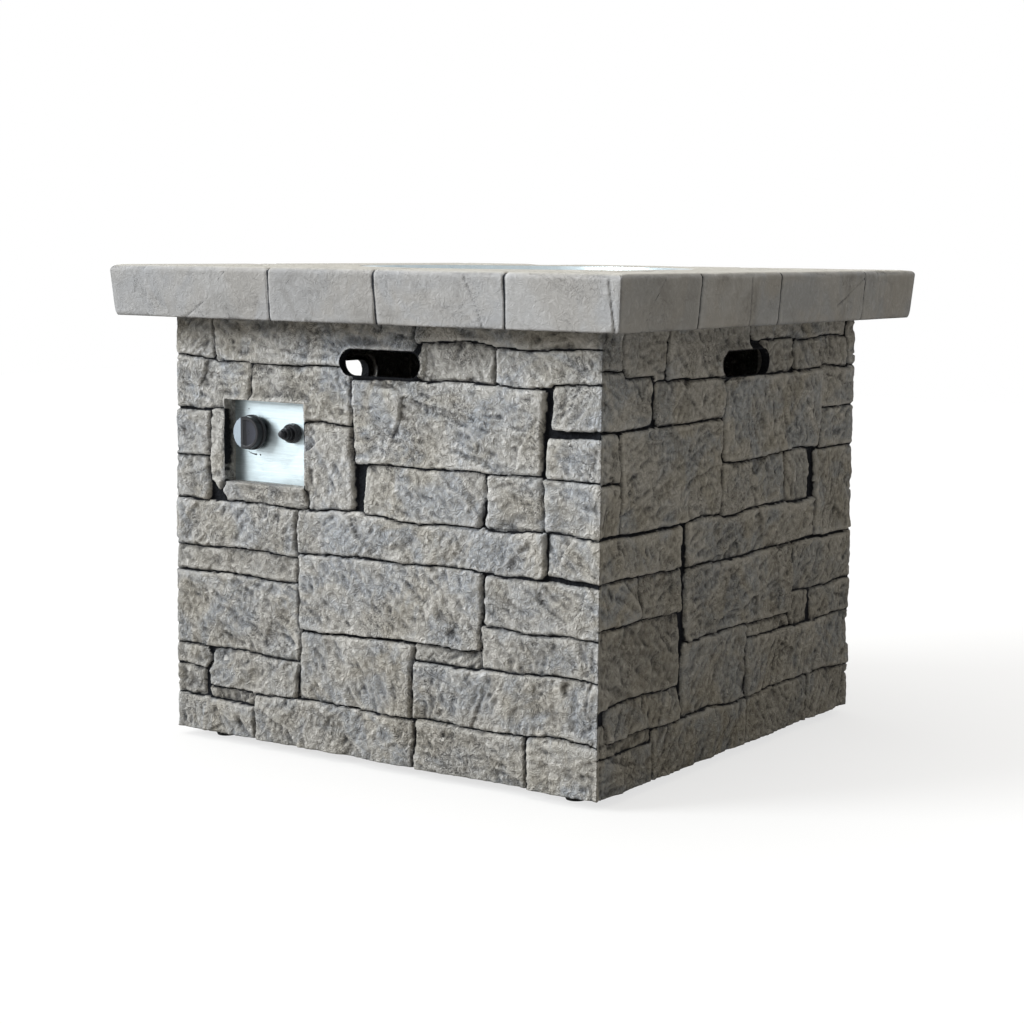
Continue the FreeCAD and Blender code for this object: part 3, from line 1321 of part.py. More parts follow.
for item in doc.Objects:
    if "Invalid" in item.State or "Error" in item.State:
        raise RuntimeError("%s is not sound: %s" % (item.Label, item.State))
for item in pieces:
    if item.Shape.isNull() or not item.Shape.isValid():
        raise RuntimeError("%s has no valid shape" % item.Label)
for item in pieces:
    item.Shape.exportStep("parts/" + item.Label + ".step")
    print(item.Label, len(item.Shape.Solids), round(item.Shape.Volume / 1000, 2), "cm3")
print(len(pieces), "pieces")
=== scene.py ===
import json
import math

import bmesh
import bpy
import numpy as np
from mathutils import Matrix, Vector
from mathutils.geometry import delaunay_2d_cdt


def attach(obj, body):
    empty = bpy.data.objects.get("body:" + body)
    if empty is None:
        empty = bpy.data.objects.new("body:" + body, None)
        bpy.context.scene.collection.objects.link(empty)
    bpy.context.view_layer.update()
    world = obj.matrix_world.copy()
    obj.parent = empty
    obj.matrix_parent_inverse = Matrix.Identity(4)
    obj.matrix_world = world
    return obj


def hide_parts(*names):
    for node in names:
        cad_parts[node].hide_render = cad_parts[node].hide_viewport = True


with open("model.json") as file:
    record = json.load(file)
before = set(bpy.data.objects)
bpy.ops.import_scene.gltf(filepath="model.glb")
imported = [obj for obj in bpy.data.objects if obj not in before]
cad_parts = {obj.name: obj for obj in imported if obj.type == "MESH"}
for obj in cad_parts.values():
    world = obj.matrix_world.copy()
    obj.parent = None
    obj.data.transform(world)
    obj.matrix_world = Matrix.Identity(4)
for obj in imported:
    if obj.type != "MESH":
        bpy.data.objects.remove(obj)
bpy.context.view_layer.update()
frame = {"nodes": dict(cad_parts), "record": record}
cell = 2.0  # step of the stone grids, in mm


# noise and smoothing, over whole arrays of points in mm
def hashUnit(ix, iy, iz, seed):
    # a number from 0 to 1 for each lattice cell: its coordinates times large primes, mixed bit by bit
    mixed = (ix * 73856093) ^ (iy * 19349663) ^ (iz * 83492791) ^ (seed * 2654435)
    mixed = ((mixed ^ (mixed >> 13)) & 0x3FFFFFFF) * 1274126177
    return ((mixed ^ (mixed >> 16)) & 0xFFFFF) / 0xFFFFF


def gradientNoise(points, size, seed):
    # dot products of hashed gradients with the offsets to the eight lattice corners, blended by a quintic
    scaled = points / size
    base = np.floor(scaled).astype(np.int64)
    part = scaled - base
    blend = part ** 3 * (part * (part * 6 - 15) + 10)
    total = np.zeros(len(points))
    for corner in np.ndindex(2, 2, 2):
        lattice = base + corner
        offset = part - corner
        weight = np.prod(np.where(np.array(corner) == 1, blend, 1 - blend), axis=1)
        for axis in range(3):
            pull = hashUnit(lattice[:, 0], lattice[:, 1], lattice[:, 2], seed + axis * 17) * 2 - 1
            total += weight * pull * offset[:, axis]
    return total * 1.6  # about -1 to 1


def withNoise(start, points, layers):
    # start plus each layer's amount times noise of its size and seed
    for layer in layers:
        start = start + waves(points, *layer)
    return start


def fractal(points, size, seed, octaves=3, gain=0.5):
    # noise plus finer noise: each layer has half the size and gain times the amount of the one before
    return sum(gradientNoise(points, size / 2 ** k, seed + 101 * k) * gain ** k
               for k in range(octaves))


def chips(u, v, size, seed, bowl=1.6):
    # lowest of many tilted bowls around jittered centres: broken faces with sharp ridges between them
    cu, cv = np.floor(u / size).astype(np.int64), np.floor(v / size).astype(np.int64)
    lowest = np.full(u.shape, np.inf)
    for du, dv in np.ndindex(3, 3):
        iu, iv = cu + du - 1, cv + dv - 1
        zero = iu * 0
        ru = u / size - iu - hashUnit(iu, iv, zero, seed)
        rv = v / size - iv - hashUnit(iu, iv, zero + 1, seed)
        tiltU = hashUnit(iu, iv, zero + 2, seed) * 2 - 1
        tiltV = hashUnit(iu, iv, zero + 3, seed) * 2 - 1
        rest = hashUnit(iu, iv, zero + 4, seed)
        lowest = np.minimum(lowest, rest + tiltU * ru + tiltV * rv + bowl * (ru * ru + rv * rv))
    return lowest - 0.55  # centred on about 0


def waves(points, amount, size, seed):
    return amount * gradientNoise(points, size, seed)


def swells(points, amount, size, seed):
    return amount * fractal(points, size, seed, 2)


def ridges(points, amount, size, seed):
    # sharp crests where the noise passes nothing
    return amount * (0.35 - np.abs(gradientNoise(points, size, seed)))


def flats(u, v, seed, amount, size, hollow):
    return amount * chips(u, v, size, seed, hollow)


def smooth(t):
    # step from 0 to 1 that starts and ends level: t squared times 3 - 2t
    t = np.clip(t, 0, 1)
    return t * t * (3 - 2 * t)


def softened(field, times):
    # half of each value plus a quarter of both neighbours, along both directions of the grid
    for _ in range(times):
        padded = np.pad(field, 1, mode="edge")
        field = (padded[1:-1, :-2] + 2 * padded[1:-1, 1:-1] + padded[1:-1, 2:]) / 4
        padded = np.pad(field, 1, mode="edge")
        field = (padded[:-2, 1:-1] + 2 * padded[1:-1, 1:-1] + padded[2:, 1:-1]) / 4
    return field


# shader nodes
def feed(tree, socket, given):
    # another node's output is linked to the socket, and anything else is set on it
    if isinstance(given, bpy.types.NodeSocket):
        tree.links.new(given, socket)
    else:
        socket.default_value = given


def addNode(tree, kind, settings=None, **inputs):
    # i0, i1 and so on are inputs by number, and other labels are inputs by name
    node = tree.nodes.new(kind)
    for label, setting in (settings or {}).items():
        setattr(node, label, setting)
    for label, given in inputs.items():
        numbered = label[0] == "i" and label[1:].isdigit()
        feed(tree, node.inputs[int(label[1:]) if numbered else label.replace("_", " ")], given)
    return node


def mixColor(tree, factor, first, second, blend="MIX"):
    # the first colour goes over to the second by the factor; the colours are inputs 6 and 7 of a mix node
    node = addNode(tree, "ShaderNodeMix", {"data_type": "RGBA", "blend_type": blend}, i0=factor)
    for socket, given in ((node.inputs[6], first), (node.inputs[7], second)):
        feed(tree, socket, (*given, 1) if isinstance(given, tuple) else given)
    return node.outputs[2]


def maths(tree, operation, first, second=0.0, clamp=False):
    node = addNode(tree, "ShaderNodeMath", {"operation": operation, "use_clamp": clamp}, i0=first, i1=second)
    return node.outputs[0]


def times(tree, source, share, clamp=False):
    return maths(tree, "MULTIPLY", source, share, clamp)


def fromHalf(tree, source):
    # how far a value lies from a half, which turns noise into thin lines
    return maths(tree, "ABSOLUTE", maths(tree, "SUBTRACT", source, 0.5))


def spread(tree, source, low, high, start=0.0, end=1.0):
    # start at low and end at high, with a smooth step between them
    return addNode(tree, "ShaderNodeMapRange", {"interpolation_type": "SMOOTHSTEP"}, i0=source,
                   i1=low, i2=high, i3=start, i4=end).outputs[0]


def noiseAt(tree, vector, scale, detail=3.0, rough=0.55, bend=0.0):
    return addNode(tree, "ShaderNodeTexNoise", None, Vector=vector, Scale=scale, Detail=detail,
                   Roughness=rough, Distortion=bend).outputs[0]


def resized(tree, vector, size):
    return addNode(tree, "ShaderNodeVectorMath", {"operation": "SCALE"}, i0=vector, Scale=size).outputs[0]


def objectPlace(tree, stretch=None):
    # place on the piece in metres, stretched along its axes where asked
    place = addNode(tree, "ShaderNodeTexCoord").outputs["Object"]
    if stretch:
        place = addNode(tree, "ShaderNodeMapping", None, Vector=place, Scale=stretch).outputs[0]
    return place


def attributeOf(tree, label):
    return addNode(tree, "ShaderNodeAttribute", {"attribute_name": label}).outputs["Fac"]


def newGroup(name, numbers, outputs):
    # a shader node group: a vector and numbers with their usual values go in, and only values come out
    group = bpy.data.node_groups.new(name, "ShaderNodeTree")
    group.interface.new_socket("Vector", in_out="INPUT", socket_type="NodeSocketVector")
    for label, usual in numbers.items():
        socket = group.interface.new_socket(label, in_out="INPUT", socket_type="NodeSocketFloat")
        socket.default_value = usual
    for label in outputs:
        group.interface.new_socket(label, in_out="OUTPUT", socket_type="NodeSocketFloat")
    return group, group.nodes.new("NodeGroupInput").outputs, group.nodes.new("NodeGroupOutput").inputs


def useGroup(tree, group, **inputs):
    return addNode(tree, "ShaderNodeGroup", {"node_tree": group}, **inputs).outputs


# rock grain: scale, detail, roughness and bend of each noise, the range it is spread over, what a crinkle is
# multiplied by and raised by, and each layer's share of the height
grainParts = {
    "noise": {"crinkle": (120, 4, 0.58, 0.7), "grit": (420, 3, 0.65, 0.3), "pebble": (44, 3, 0.55, 0.8),
              "seam": (58, 4, 0.62, 2.2), "patch": (17, 2), "zone": (9, 3, 0.6, 0.6),
              "stain": (24, 4, 0.62, 0.8), "cool": (13, 3, 0.6, 1.0)},
    "range": {"seam": (0.016, 0.002), "patch": (0.5, 0.6), "zone": (0.42, 0.6), "stain": (0.5, 0.72),
              "cool": (0.42, 0.62)},
    "crease": (1.7, 0.32),
    "height": {"wrinkle": 0.7, "grit": 0.24, "pebble": 0.38, "crack": -0.12},
}


def rockGroup():
    # crinkles with sharp creases, fine grit, thin cracks in patches, and soft colour zones; the height is the
    # sum of the layers by their shares
    labels = ("Wrinkle", "Crack", "Zone", "Stain", "Cool", "Height")
    group, given, made = newGroup("rock grain", {"Size": 1.0}, labels)
    place = resized(group, given[0], given[1])
    noise = {label: noiseAt(group, place, *layer) for label, layer in grainParts["noise"].items()}
    masks = {label: spread(group, fromHalf(group, noise[label]) if label == "seam" else noise[label], *reach)
             for label, reach in grainParts["range"].items()}
    steepness, least = grainParts["crease"]
    wrinkle = maths(group, "ADD", times(group, fromHalf(group, noise["crinkle"]), steepness), least)
    crack = times(group, masks["seam"], masks["patch"])
    shares = grainParts["height"]
    height = times(group, wrinkle, shares["wrinkle"])
    for source, label in ((noise["grit"], "grit"), (noise["pebble"], "pebble"), (crack, "crack")):
        height = maths(group, "ADD", height, times(group, source, shares[label]))
    for socket, source in zip(made, (wrinkle, crack, masks["zone"], masks["stain"], masks["cool"], height)):
        group.links.new(source, socket)
    return group


# the noise, how much it frays the joint's edge, and the ranges of the dark joint line and of the painted shade
washAndShadeParts = {"noise": (90, 4, 0.6), "fray": 0.7, "line": (0.72, 1.12), "shade": (0.35, 0.7, 0.35, 1.0)}


def washAndShadeGroup():
    # a ragged dark line in the joints, and painted shade in the hollows: the hollow times the noise
    numbers = {"Joint": 0.0, "Hollow": 0.0, "Amount": 1.0}
    group, given, made = newGroup("joint line and painted shade", numbers, ("Line", "Shade"))
    ragged = noiseAt(group, given[0], *washAndShadeParts["noise"])
    frayed = maths(group, "ADD", given[1], times(group, ragged, washAndShadeParts["fray"]))
    shade = times(group, given[2], spread(group, ragged, *washAndShadeParts["shade"]))
    group.links.new(spread(group, frayed, *washAndShadeParts["line"]), made[0])
    group.links.new(times(group, shade, given[3], True), made[1])
    return group


# signs of handling: each noise as above, and the range it is spread over
handlingParts = {
    "smudge": ((35, 3, 0.55, 0.6), (0.38, 0.68)), "streak": ((240, 2, 0.5, 3.0), (0.012, 0.001)),
    "patch": ((60, 1), (0.52, 0.6)), "dust": ((900, 2, 0.7), (0.55, 0.78)),
}


def handlingGroup():
    # soft smudges, fine scratches in patches and a little dust on made parts
    group, given, made = newGroup("handling", {"Size": 1.0}, ("Smudge", "Scratch", "Dust"))
    place = resized(group, given[0], given[1])
    masks = {}
    for label, (layer, reach) in handlingParts.items():
        noise = noiseAt(group, place, *layer)
        masks[label] = spread(group, fromHalf(group, noise) if label == "streak" else noise, *reach)
    scratch = times(group, masks["streak"], masks["patch"])
    for socket, source in zip(made, (masks["smudge"], scratch, masks["dust"])):
        group.links.new(source, socket)
    return group


rockGrain, washAndShade, handling = rockGroup(), washAndShadeGroup(), handlingGroup()


# materials
def principled(name, color, roughness, metallic=0.0, shine=0.5):
    material = bpy.data.materials.new(name)
    material.use_nodes = True
    shader = material.node_tree.nodes["Principled BSDF"]
    shader.inputs["Base Color"].default_value = (*color, 1)
    shader.inputs["Roughness"].default_value = roughness
    shader.inputs["Metallic"].default_value = metallic
    shader.inputs["Specular IOR Level"].default_value = shine
    return material


def scaled(color, share):
    return tuple(min(1.0, part * share) for part in color)


def addRelief(tree, height, distance, strength=1.0):
    # bump of that distance in metres on the material's shader
    bump = addNode(tree, "ShaderNodeBump", None, Strength=strength, Distance=distance, Height=height)
    tree.links.new(bump.outputs[0], tree.nodes["Principled BSDF"].inputs["Normal"])


def stoneMaterial(name, look):
    # moulded stone: each layer covers the colour below it by its mask
    pale, warm, dark, grainLightShadeAndCracks = look["pale"], look["warm"], look["dark"], look["grainLightShadeAndCracks"]
    material = principled(name, pale, 0.7, 0.0, 0.12)
    tree = material.node_tree
    shader = tree.nodes["Principled BSDF"]
    place = objectPlace(tree)
    grain = useGroup(tree, rockGrain, Vector=place, Size=look["size"])
    washAndShadeOut = useGroup(tree, washAndShade, Vector=place, Joint=attributeOf(tree, "joint"),
                       Hollow=attributeOf(tree, "crevice"), Amount=look["hollowShade"])
    toneAndShade, wrinkle = attributeOf(tree, "toneAndShade"), grain["Wrinkle"]
    height = addNode(tree, "ShaderNodeSeparateXYZ", None, Vector=place).outputs[2]
    color = pale
    for mask, cover in (
        (grain["Zone"], warm),
        (times(tree, grain["Cool"], spread(tree, toneAndShade, 0.15, 0.75, 0.25, 0.95)), look["cool"]),
        (times(tree, grain["Stain"], 0.5), scaled(warm, 0.55)),
        (spread(tree, toneAndShade, 0.9, 0.1, 0.0, 0.5), scaled(warm, 0.6)),  # painted shade on stones set further back, with some random tone
        (spread(tree, wrinkle, 0.52, 0.7, 0.0, 0.5 * grainLightShadeAndCracks), scaled(pale, 1.5)),  # painted highlight on the crests
        (spread(tree, wrinkle, 0.46, 0.3, 0.0, 0.55 * grainLightShadeAndCracks), scaled(warm, 0.42)),  # painted shade in the creases
        # painted highlight on the ridges
        (times(tree, attributeOf(tree, "ridgeHighlight"), 0.35), scaled(pale, 1.4)),
    ):
        color = mixColor(tree, mask, color, cover)
    shadedLow = mixColor(tree, 1.0, color, (0.66, 0.64, 0.6), "MULTIPLY")
    color = mixColor(tree, spread(tree, height, 0.5, 0.06, 0.0, 0.55), color, shadedLow)  # painted shade, darker towards the floor
    if look["crown"]:
        # painted light on the upper face, lighter and warmer than the sides
        color = mixColor(tree, attributeOf(tree, "crown"), color, look["crown"])
    for mask, cover in (
        (times(tree, grain["Crack"], 0.75 * grainLightShadeAndCracks), scaled(dark, 2.5)),
        # painted shade in the hollows
        (washAndShadeOut["Shade"], scaled(dark, 2.0)),
        (washAndShadeOut["Line"], dark),
    ):
        color = mixColor(tree, mask, color, cover)
    tree.links.new(color, shader.inputs["Base Color"])
    tree.links.new(spread(tree, wrinkle, 0.35, 0.7, 0.82, 0.58), shader.inputs["Roughness"])
    addRelief(tree, grain["Height"], look["relief"])
    return material


def madeMaterial(name, color, rough, metallic, worn, stretch=None, lines=0.0, size=1.0, shine=0.5):
    # metal, plastic, rubber or glaze: fine texture lines along one axis, smudges, scratches and dust
    material = principled(name, color, rough, metallic, shine)
    tree = material.node_tree
    shader = tree.nodes["Principled BSDF"]
    marks = useGroup(tree, handling, Vector=objectPlace(tree), Size=size)
    fine = noiseAt(tree, objectPlace(tree, stretch or (1, 1, 1)), 300, 3, 0.65)
    look = color
    for mask, cover in (
        (spread(tree, fine, 0.35, 0.65, 0.0, lines), scaled(color, 0.72)),
        (times(tree, marks["Smudge"], worn * 0.5), scaled(color, 0.7)),
        (times(tree, marks["Scratch"], worn), scaled(color, 1.4)),
        (times(tree, marks["Dust"], worn * 0.35), (0.35, 0.33, 0.3)),
        # painted highlight on the knob's scoop
        (attributeOf(tree, "knobSheen"), scaled(color, 7)),
    ):
        look = mixColor(tree, mask, look, cover)
    tree.links.new(look, shader.inputs["Base Color"])
    gloss = maths(tree, "ADD", spread(tree, fine, 0.3, 0.7, rough - 0.06, rough + 0.08),
                  times(tree, marks["Smudge"], 0.12))
    tree.links.new(gloss, shader.inputs["Roughness"])
    addRelief(tree, fine, 0.0004, 0.35)
    return material


# colour, roughness, metallic, wear, stretch of the fine lines, how strong they are, size of the marks, shine
madeLooks = {
    "black_rubber": ((0.022, 0.022, 0.023), 0.78, 0.0, 0.5, None, 0.3, 1.0, 0.25),
    "stainless_steel": ((0.53, 0.61, 0.64), 0.34, 1.0, 0.12, (0.05, 3, 3), 0.5, 1.0),
    "zinc_steel": ((0.56, 0.57, 0.58), 0.42, 1.0, 0.4, (0.6, 0.6, 0.6), 0.5, 1.0),
    "brass": ((0.62, 0.44, 0.18), 0.34, 1.0, 0.35, (2, 2, 0.2), 0.3, 1.4),
    "cast_aluminium": ((0.62, 0.62, 0.61), 0.5, 1.0, 0.4, (2, 2, 2), 0.5, 1.2),
    "black_plastic": ((0.012, 0.013, 0.017), 0.34, 0.0, 0.25, (3, 3, 3), 0.3, 1.5, 0.3),
    "silver_insert": ((0.26, 0.3, 0.34), 0.4, 1.0, 0.15, (3, 3, 0.1), 0.6, 2.0),
    "white_ceramic": ((0.8, 0.79, 0.75), 0.2, 0.0, 0.2, None, 0.15, 2.0),
    "battery_wrap": ((0.05, 0.13, 0.08), 0.38, 0.0, 0.3, None, 0.2, 2.0),
}
# hollowShade is how strong the painted shade in the hollows is, size the grain's, relief the bump in metres,
# grainLightShadeAndCracks how strong the painted highlights and shade of the grain and its cracks are, and
# crown the colour of the painted light on the upper face
stoneLooks = {
    "moulded_stone": {"pale": (0.6, 0.59, 0.58), "warm": (0.5, 0.478, 0.44), "cool": (0.445, 0.473, 0.525),
                      "dark": (0.008, 0.009, 0.012), "hollowShade": 0.85, "size": 1.0, "relief": 0.0075, "grainLightShadeAndCracks": 1.0,
                      "crown": None},
    "top_stone": {"pale": (0.46, 0.46, 0.47), "warm": (0.42, 0.41, 0.405), "cool": (0.40, 0.415, 0.45),
                  "dark": (0.028, 0.03, 0.036), "hollowShade": 0.6, "size": 0.8, "relief": 0.0018, "grainLightShadeAndCracks": 0.25,
                  "crown": (0.5, 0.485, 0.45)},
    "lava_rock": {"pale": (0.05, 0.046, 0.045), "warm": (0.075, 0.05, 0.042), "cool": (0.045, 0.047, 0.052),
                  "dark": (0.012, 0.011, 0.011), "hollowShade": 0.9, "size": 1.6, "relief": 0.006, "grainLightShadeAndCracks": 1.0,
                  "crown": None},
}
looks = {slot: madeMaterial(slot, *look) for slot, look in madeLooks.items()}
looks.update({slot: stoneMaterial(slot, look) for slot, look in stoneLooks.items()})
slotOf = {entry["node"]: entry["material_slot"] for entry in frame["record"]["subparts"]}
for name, node in frame["nodes"].items():
    node.data.materials.clear()
    node.data.materials.append(looks[slotOf[name]])
print("materials done", flush=True)


# meshes
def buildPiece(name, points, faces, body, slot, replaced=(), smoothFaces=None, values=None):
    # points in mm; values are numbers for each vertex that the material reads
    mesh = bpy.data.meshes.new(name)
    mesh.from_pydata(points / 1000, [], faces)
    flags = np.ones(len(mesh.polygons), dtype=bool) if smoothFaces is None else smoothFaces
    mesh.polygons.foreach_set("use_smooth", flags)
    for label, amounts in (values or {}).items():
        layer = mesh.attributes.new(label, "FLOAT", "POINT")
        layer.data.foreach_set("value", amounts.astype(np.float32))
    mesh.update()
    piece = bpy.data.objects.new(name, mesh)
    bpy.context.scene.collection.objects.link(piece)
    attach(piece, body)
    if replaced:
        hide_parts(*replaced)
    mesh.materials.append(looks[slot])
    return piece


def gridLine(marks):
    # evenly stepped numbers that land on each mark
    runs = [np.linspace(a, b, max(1, round((b - a) / cell)) + 1)[:-1]
            for a, b in zip(marks, marks[1:])]
    return np.concatenate(runs + [[marks[-1]]])


def triangleFill(flat, sides, leastArea=1e-9):
    # triangles between the sides of flat loops, all turned the same way, by their points' numbers
    spots = [Vector(pair) for pair in flat.tolist()]
    _, _, triangles, origins, _, _ = delaunay_2d_cdt(spots, sides.tolist(), [], 0, 1e-6)
    triangles = np.array([origin[0] for origin in origins])[np.array(triangles)]
    legs = flat[triangles]
    turn = np.cross(legs[:, 1] - legs[:, 0], legs[:, 2] - legs[:, 0])
    triangles = np.where((turn < 0)[:, None], triangles[:, ::-1], triangles)
    return triangles[np.abs(turn) > leastArea]


# walls: each stone is left, low, right, high and how far it stands out, on a face of 652 by 535 mm
frontStones = [
    (0, 485, 67, 535, 7), (68, 481, 385, 535, 9), (385, 513, 652, 535, 8),
    (395, 470, 500, 513, 5), (502, 473, 652, 511, 9), (0, 422, 125, 480, 8),
    (128, 410, 293, 475, 7), (291, 367, 567, 467, 10), (578, 425, 652, 475, 9),
    (0, 358, 60, 415, 7), (0, 303, 57, 355, 7), (62, 303, 86, 418, 7),
    (62, 303, 218, 327, 7), (219, 303, 290, 408, 8), (308, 300, 483, 362, 7),
    (490, 300, 568, 362, 6), (575, 365, 652, 412, 9), (570, 303, 652, 360, 9),
    (0, 243, 203, 300, 9), (205, 250, 572, 300, 9), (575, 253, 652, 298, 8),
    (0, 210, 202, 240, 4), (0, 112, 203, 210, 9), (205, 157, 485, 245, 10),
    (490, 185, 652, 243, 8), (485, 137, 652, 183, 7), (385, 135, 483, 152, 5),
    (208, 65, 383, 150, 9), (385, 65, 652, 133, 10), (0, 85, 65, 108, 6),
    (0, 45, 45, 82, 5), (55, 62, 205, 108, 7), (55, 47, 130, 60, 4),
    (0, 0, 130, 45, 9), (134, 0, 385, 60, 9), (390, 0, 545, 62, 8),
    (550, 0, 652, 60, 10),
]
sideStones = [
    (0, 490, 45, 535, 8), (55, 475, 150, 530, 7), (152, 472, 350, 535, 9),
    (355, 513, 625, 535, 8), (380, 467, 470, 510, 5), (475, 470, 630, 507, 7),
    (632, 478, 652, 530, 10), (0, 425, 122, 485, 8), (130, 422, 285, 470, 7),
    (290, 367, 550, 467, 10), (555, 420, 652, 472, 8), (0, 362, 47, 418, 8),
    (0, 305, 45, 358, 8), (50, 305, 280, 418, 9), (285, 302, 455, 362, 7),
    (458, 300, 520, 362, 6), (553, 365, 652, 417, 9), (540, 250, 652, 360, 8),
    (0, 252, 188, 298, 9), (205, 250, 538, 300, 9), (0, 198, 97, 248, 8),
    (98, 197, 195, 248, 7), (205, 155, 480, 245, 10), (483, 182, 652, 242, 7),
    (0, 105, 190, 193, 4), (540, 135, 652, 178, 8), (360, 137, 475, 150, 5),
    (30, 65, 190, 108, 7), (0, 50, 28, 85, 7), (200, 65, 357, 153, 9),
    (360, 63, 652, 132, 10), (0, 0, 128, 45, 9), (130, 0, 360, 60, 9),
    (362, 0, 530, 60, 8), (535, 0, 652, 58, 9), (482, 137, 527, 178, 4), (31, 48, 126, 62, 4),
]
# half the width, bottom, top and wall thickness, and the holes as left, low, right and high on a wall
base = {"half": 326.0, "low": 11.0, "high": 546.0, "thick": 22.0, "window": (88, 328, 218, 432),
        "doorway": (176, 19, 532.4, 515), "door": (179, 22, 529, 512)}
# half the straight run of a hand slot, its end radius, its rim's depth, and the wider pocket behind it
handSlot = {"run": 44.0, "round": 16.0, "rim": 13.0, "pocket": 8.0}
wallSide = 2 * base["half"]
wallTall = base["high"] - base["low"]
walls = {
    "front": {"corner": (-1, -1), "across": (1, 0), "outward": (0, -1), "stones": frontStones,
              "slot": (335, 486), "seed": 3, "beside": ("left", "right")},
    "right": {"corner": (1, -1), "across": (0, 1), "outward": (1, 0), "stones": sideStones,
              "slot": (335, 486), "seed": 5, "beside": ("front", "back")},
    "back": {"corner": (1, 1), "across": (-1, 0), "outward": (0, 1), "stones": sideStones,
             "slot": (335, 486), "seed": 8, "beside": ("right", "left")},
    "left": {"corner": (-1, 1), "across": (0, -1), "outward": (-1, 0), "stones": sideStones,
             "slot": (324, 447.5), "seed": 13, "beside": ("back", "front")},
}
# how the stones are shaped, in mm: noise layers are amount, size and seed, and chips amount, size and hollow
relief = {
    "bendU": ((5, 85, 11), (1.2, 24, 12), (0.8, 8, 13)), "bendV": ((6, 100, 21), (1.2, 24, 22), (0.8, 8, 23)),
    "floor": 11.8, "floorWaves": ((-0.8, 11, 81),), "edgeSpace": 60, "cornerRound": 5, "flattened": 1.3,
    "proudest": 10, "setBack": 0.55, "lean": 3, "bevel": 3.2, "sideBevel": 4.2,
    "bevelWaves": ((2.2, 34, 31),), "bulge": 1.9, "thin": 0.4, "besideHole": 9, "swirl": (6, 30, 5),
    "stretched": 2.4,
    "swell": (1.8, 70, 41), "flats": (3.6, 58, 0.35), "smallFlats": (2.2, 25, 0.4),
    "ridges": (3.4, 24, 73), "fineRidges": (3.2, 10, 71), "grit": (1.1, 6, 61),
    "least": 0.8, "soft": 1.6,
}
# how the walls' shared corners are cut, in mm: how far in a wall is sampled, least depth, the depth where the
# share of it changes and both shares, the lean over the whole height, and how wide the corner and shift blend
corner = {"at": 6.0, "least": 0.6, "change": 3.5, "shares": (0.4, 0.5), "lean": 2.6, "blend": 9, "shift": 24}


def wallPoint(wall, u, v, depth):
    # u along the wall, v up from its bottom and depth inwards become x, y and z
    flat = [wall["corner"][k] * base["half"] + wall["across"][k] * u - wall["outward"][k] * depth
            for k in (0, 1)]
    return np.stack([flat[0], flat[1], base["low"] + v], axis=-1)


def slotDistance(wall, u, v):
    # distance outside the hand slot, and the way straight out from it
    centre = wall["slot"]
    nearU = np.clip(u, centre[0] - handSlot["run"], centre[0] + handSlot["run"])
    reach = np.hypot(u - nearU, v - centre[1])
    safe = np.maximum(reach, 1e-6)
    return reach - handSlot["round"], (u - nearU) / safe, (v - centre[1]) / safe


def boxDistance(u, v, box):
    # distance outside a box, below nothing inside it
    outU = np.abs(u - (box[0] + box[2]) / 2) - (box[2] - box[0]) / 2
    outV = np.abs(v - (box[1] + box[3]) / 2) - (box[3] - box[1]) / 2
    return np.hypot(np.maximum(outU, 0), np.maximum(outV, 0)) + np.minimum(np.maximum(outU, outV), 0)


def stoneAreas(wall, bentU, bentV):
    # each point belongs to the stone it lies deepest in: how far it is from that stone's border, how deep the
    # stone's face lies, its tone with painted shade on stones set further back, steepness and slant, and how
    # sideways the nearest border is
    best = {"inside": np.full(bentU.shape, -99.0), "second": np.full(bentU.shape, -99.0),
            "face": np.zeros(bentU.shape), "toneAndShade": np.full(bentU.shape, 0.5), "steep": np.ones(bentU.shape),
            "slant": np.zeros(bentU.shape), "sideways": np.zeros(bentU.shape)}
    beyond = relief["edgeSpace"]
    for number, (left, low, right, high, proud) in enumerate(wall["stones"]):
        left = -beyond if left == 0 else left
        right = wallSide + beyond if right == wallSide else right
        low = -beyond if low == 0 else low
        high = wallTall + beyond if high == wallTall else high
        across, tall = (right - left) / 2, (high - low) / 2
        bend = min(relief["cornerRound"], across, tall)
        outU = (np.abs(bentU - (left + right) / 2) - across) * relief["flattened"] + bend
        outV = np.abs(bentV - (low + high) / 2) - tall + bend
        outside = np.hypot(np.maximum(outU, 0), np.maximum(outV, 0))
        inside = bend - outside - np.minimum(np.maximum(outU, outV), 0)
        chance = [float(hashUnit(np.array(number), np.array(wall["seed"]), np.array(k), 7)) for k in range(5)]
        lean = ((chance[0] - 0.5) * (bentU - (left + right) / 2) / across
                + (chance[1] - 0.5) * (bentV - (low + high) / 2) / tall) * relief["lean"]
        here = {
            "face": 1.0 + (relief["proudest"] - proud) * relief["setBack"] - lean,
            "sideways": smooth((outU - outV) / 10 + 0.5),
            # mostly painted shade, darker for stones set further back, plus a random share of tone
            "toneAndShade": 0.1 + 0.65 * float(smooth((proud - 3) / 7)) + 0.25 * chance[2],
            "steep": 0.7 + 0.6 * chance[3], "slant": (chance[4] - 0.5) * 2.4,
        }
        better = inside > best["inside"]
        best["second"] = np.where(better, best["inside"], np.maximum(best["second"], inside))
        best["inside"] = np.where(better, inside, best["inside"])
        for label, amount in here.items():
            best[label] = np.where(better, amount, best[label])
    best["border"] = np.minimum((best["inside"] - best["second"]) / 2, best["inside"] + 3)
    return best


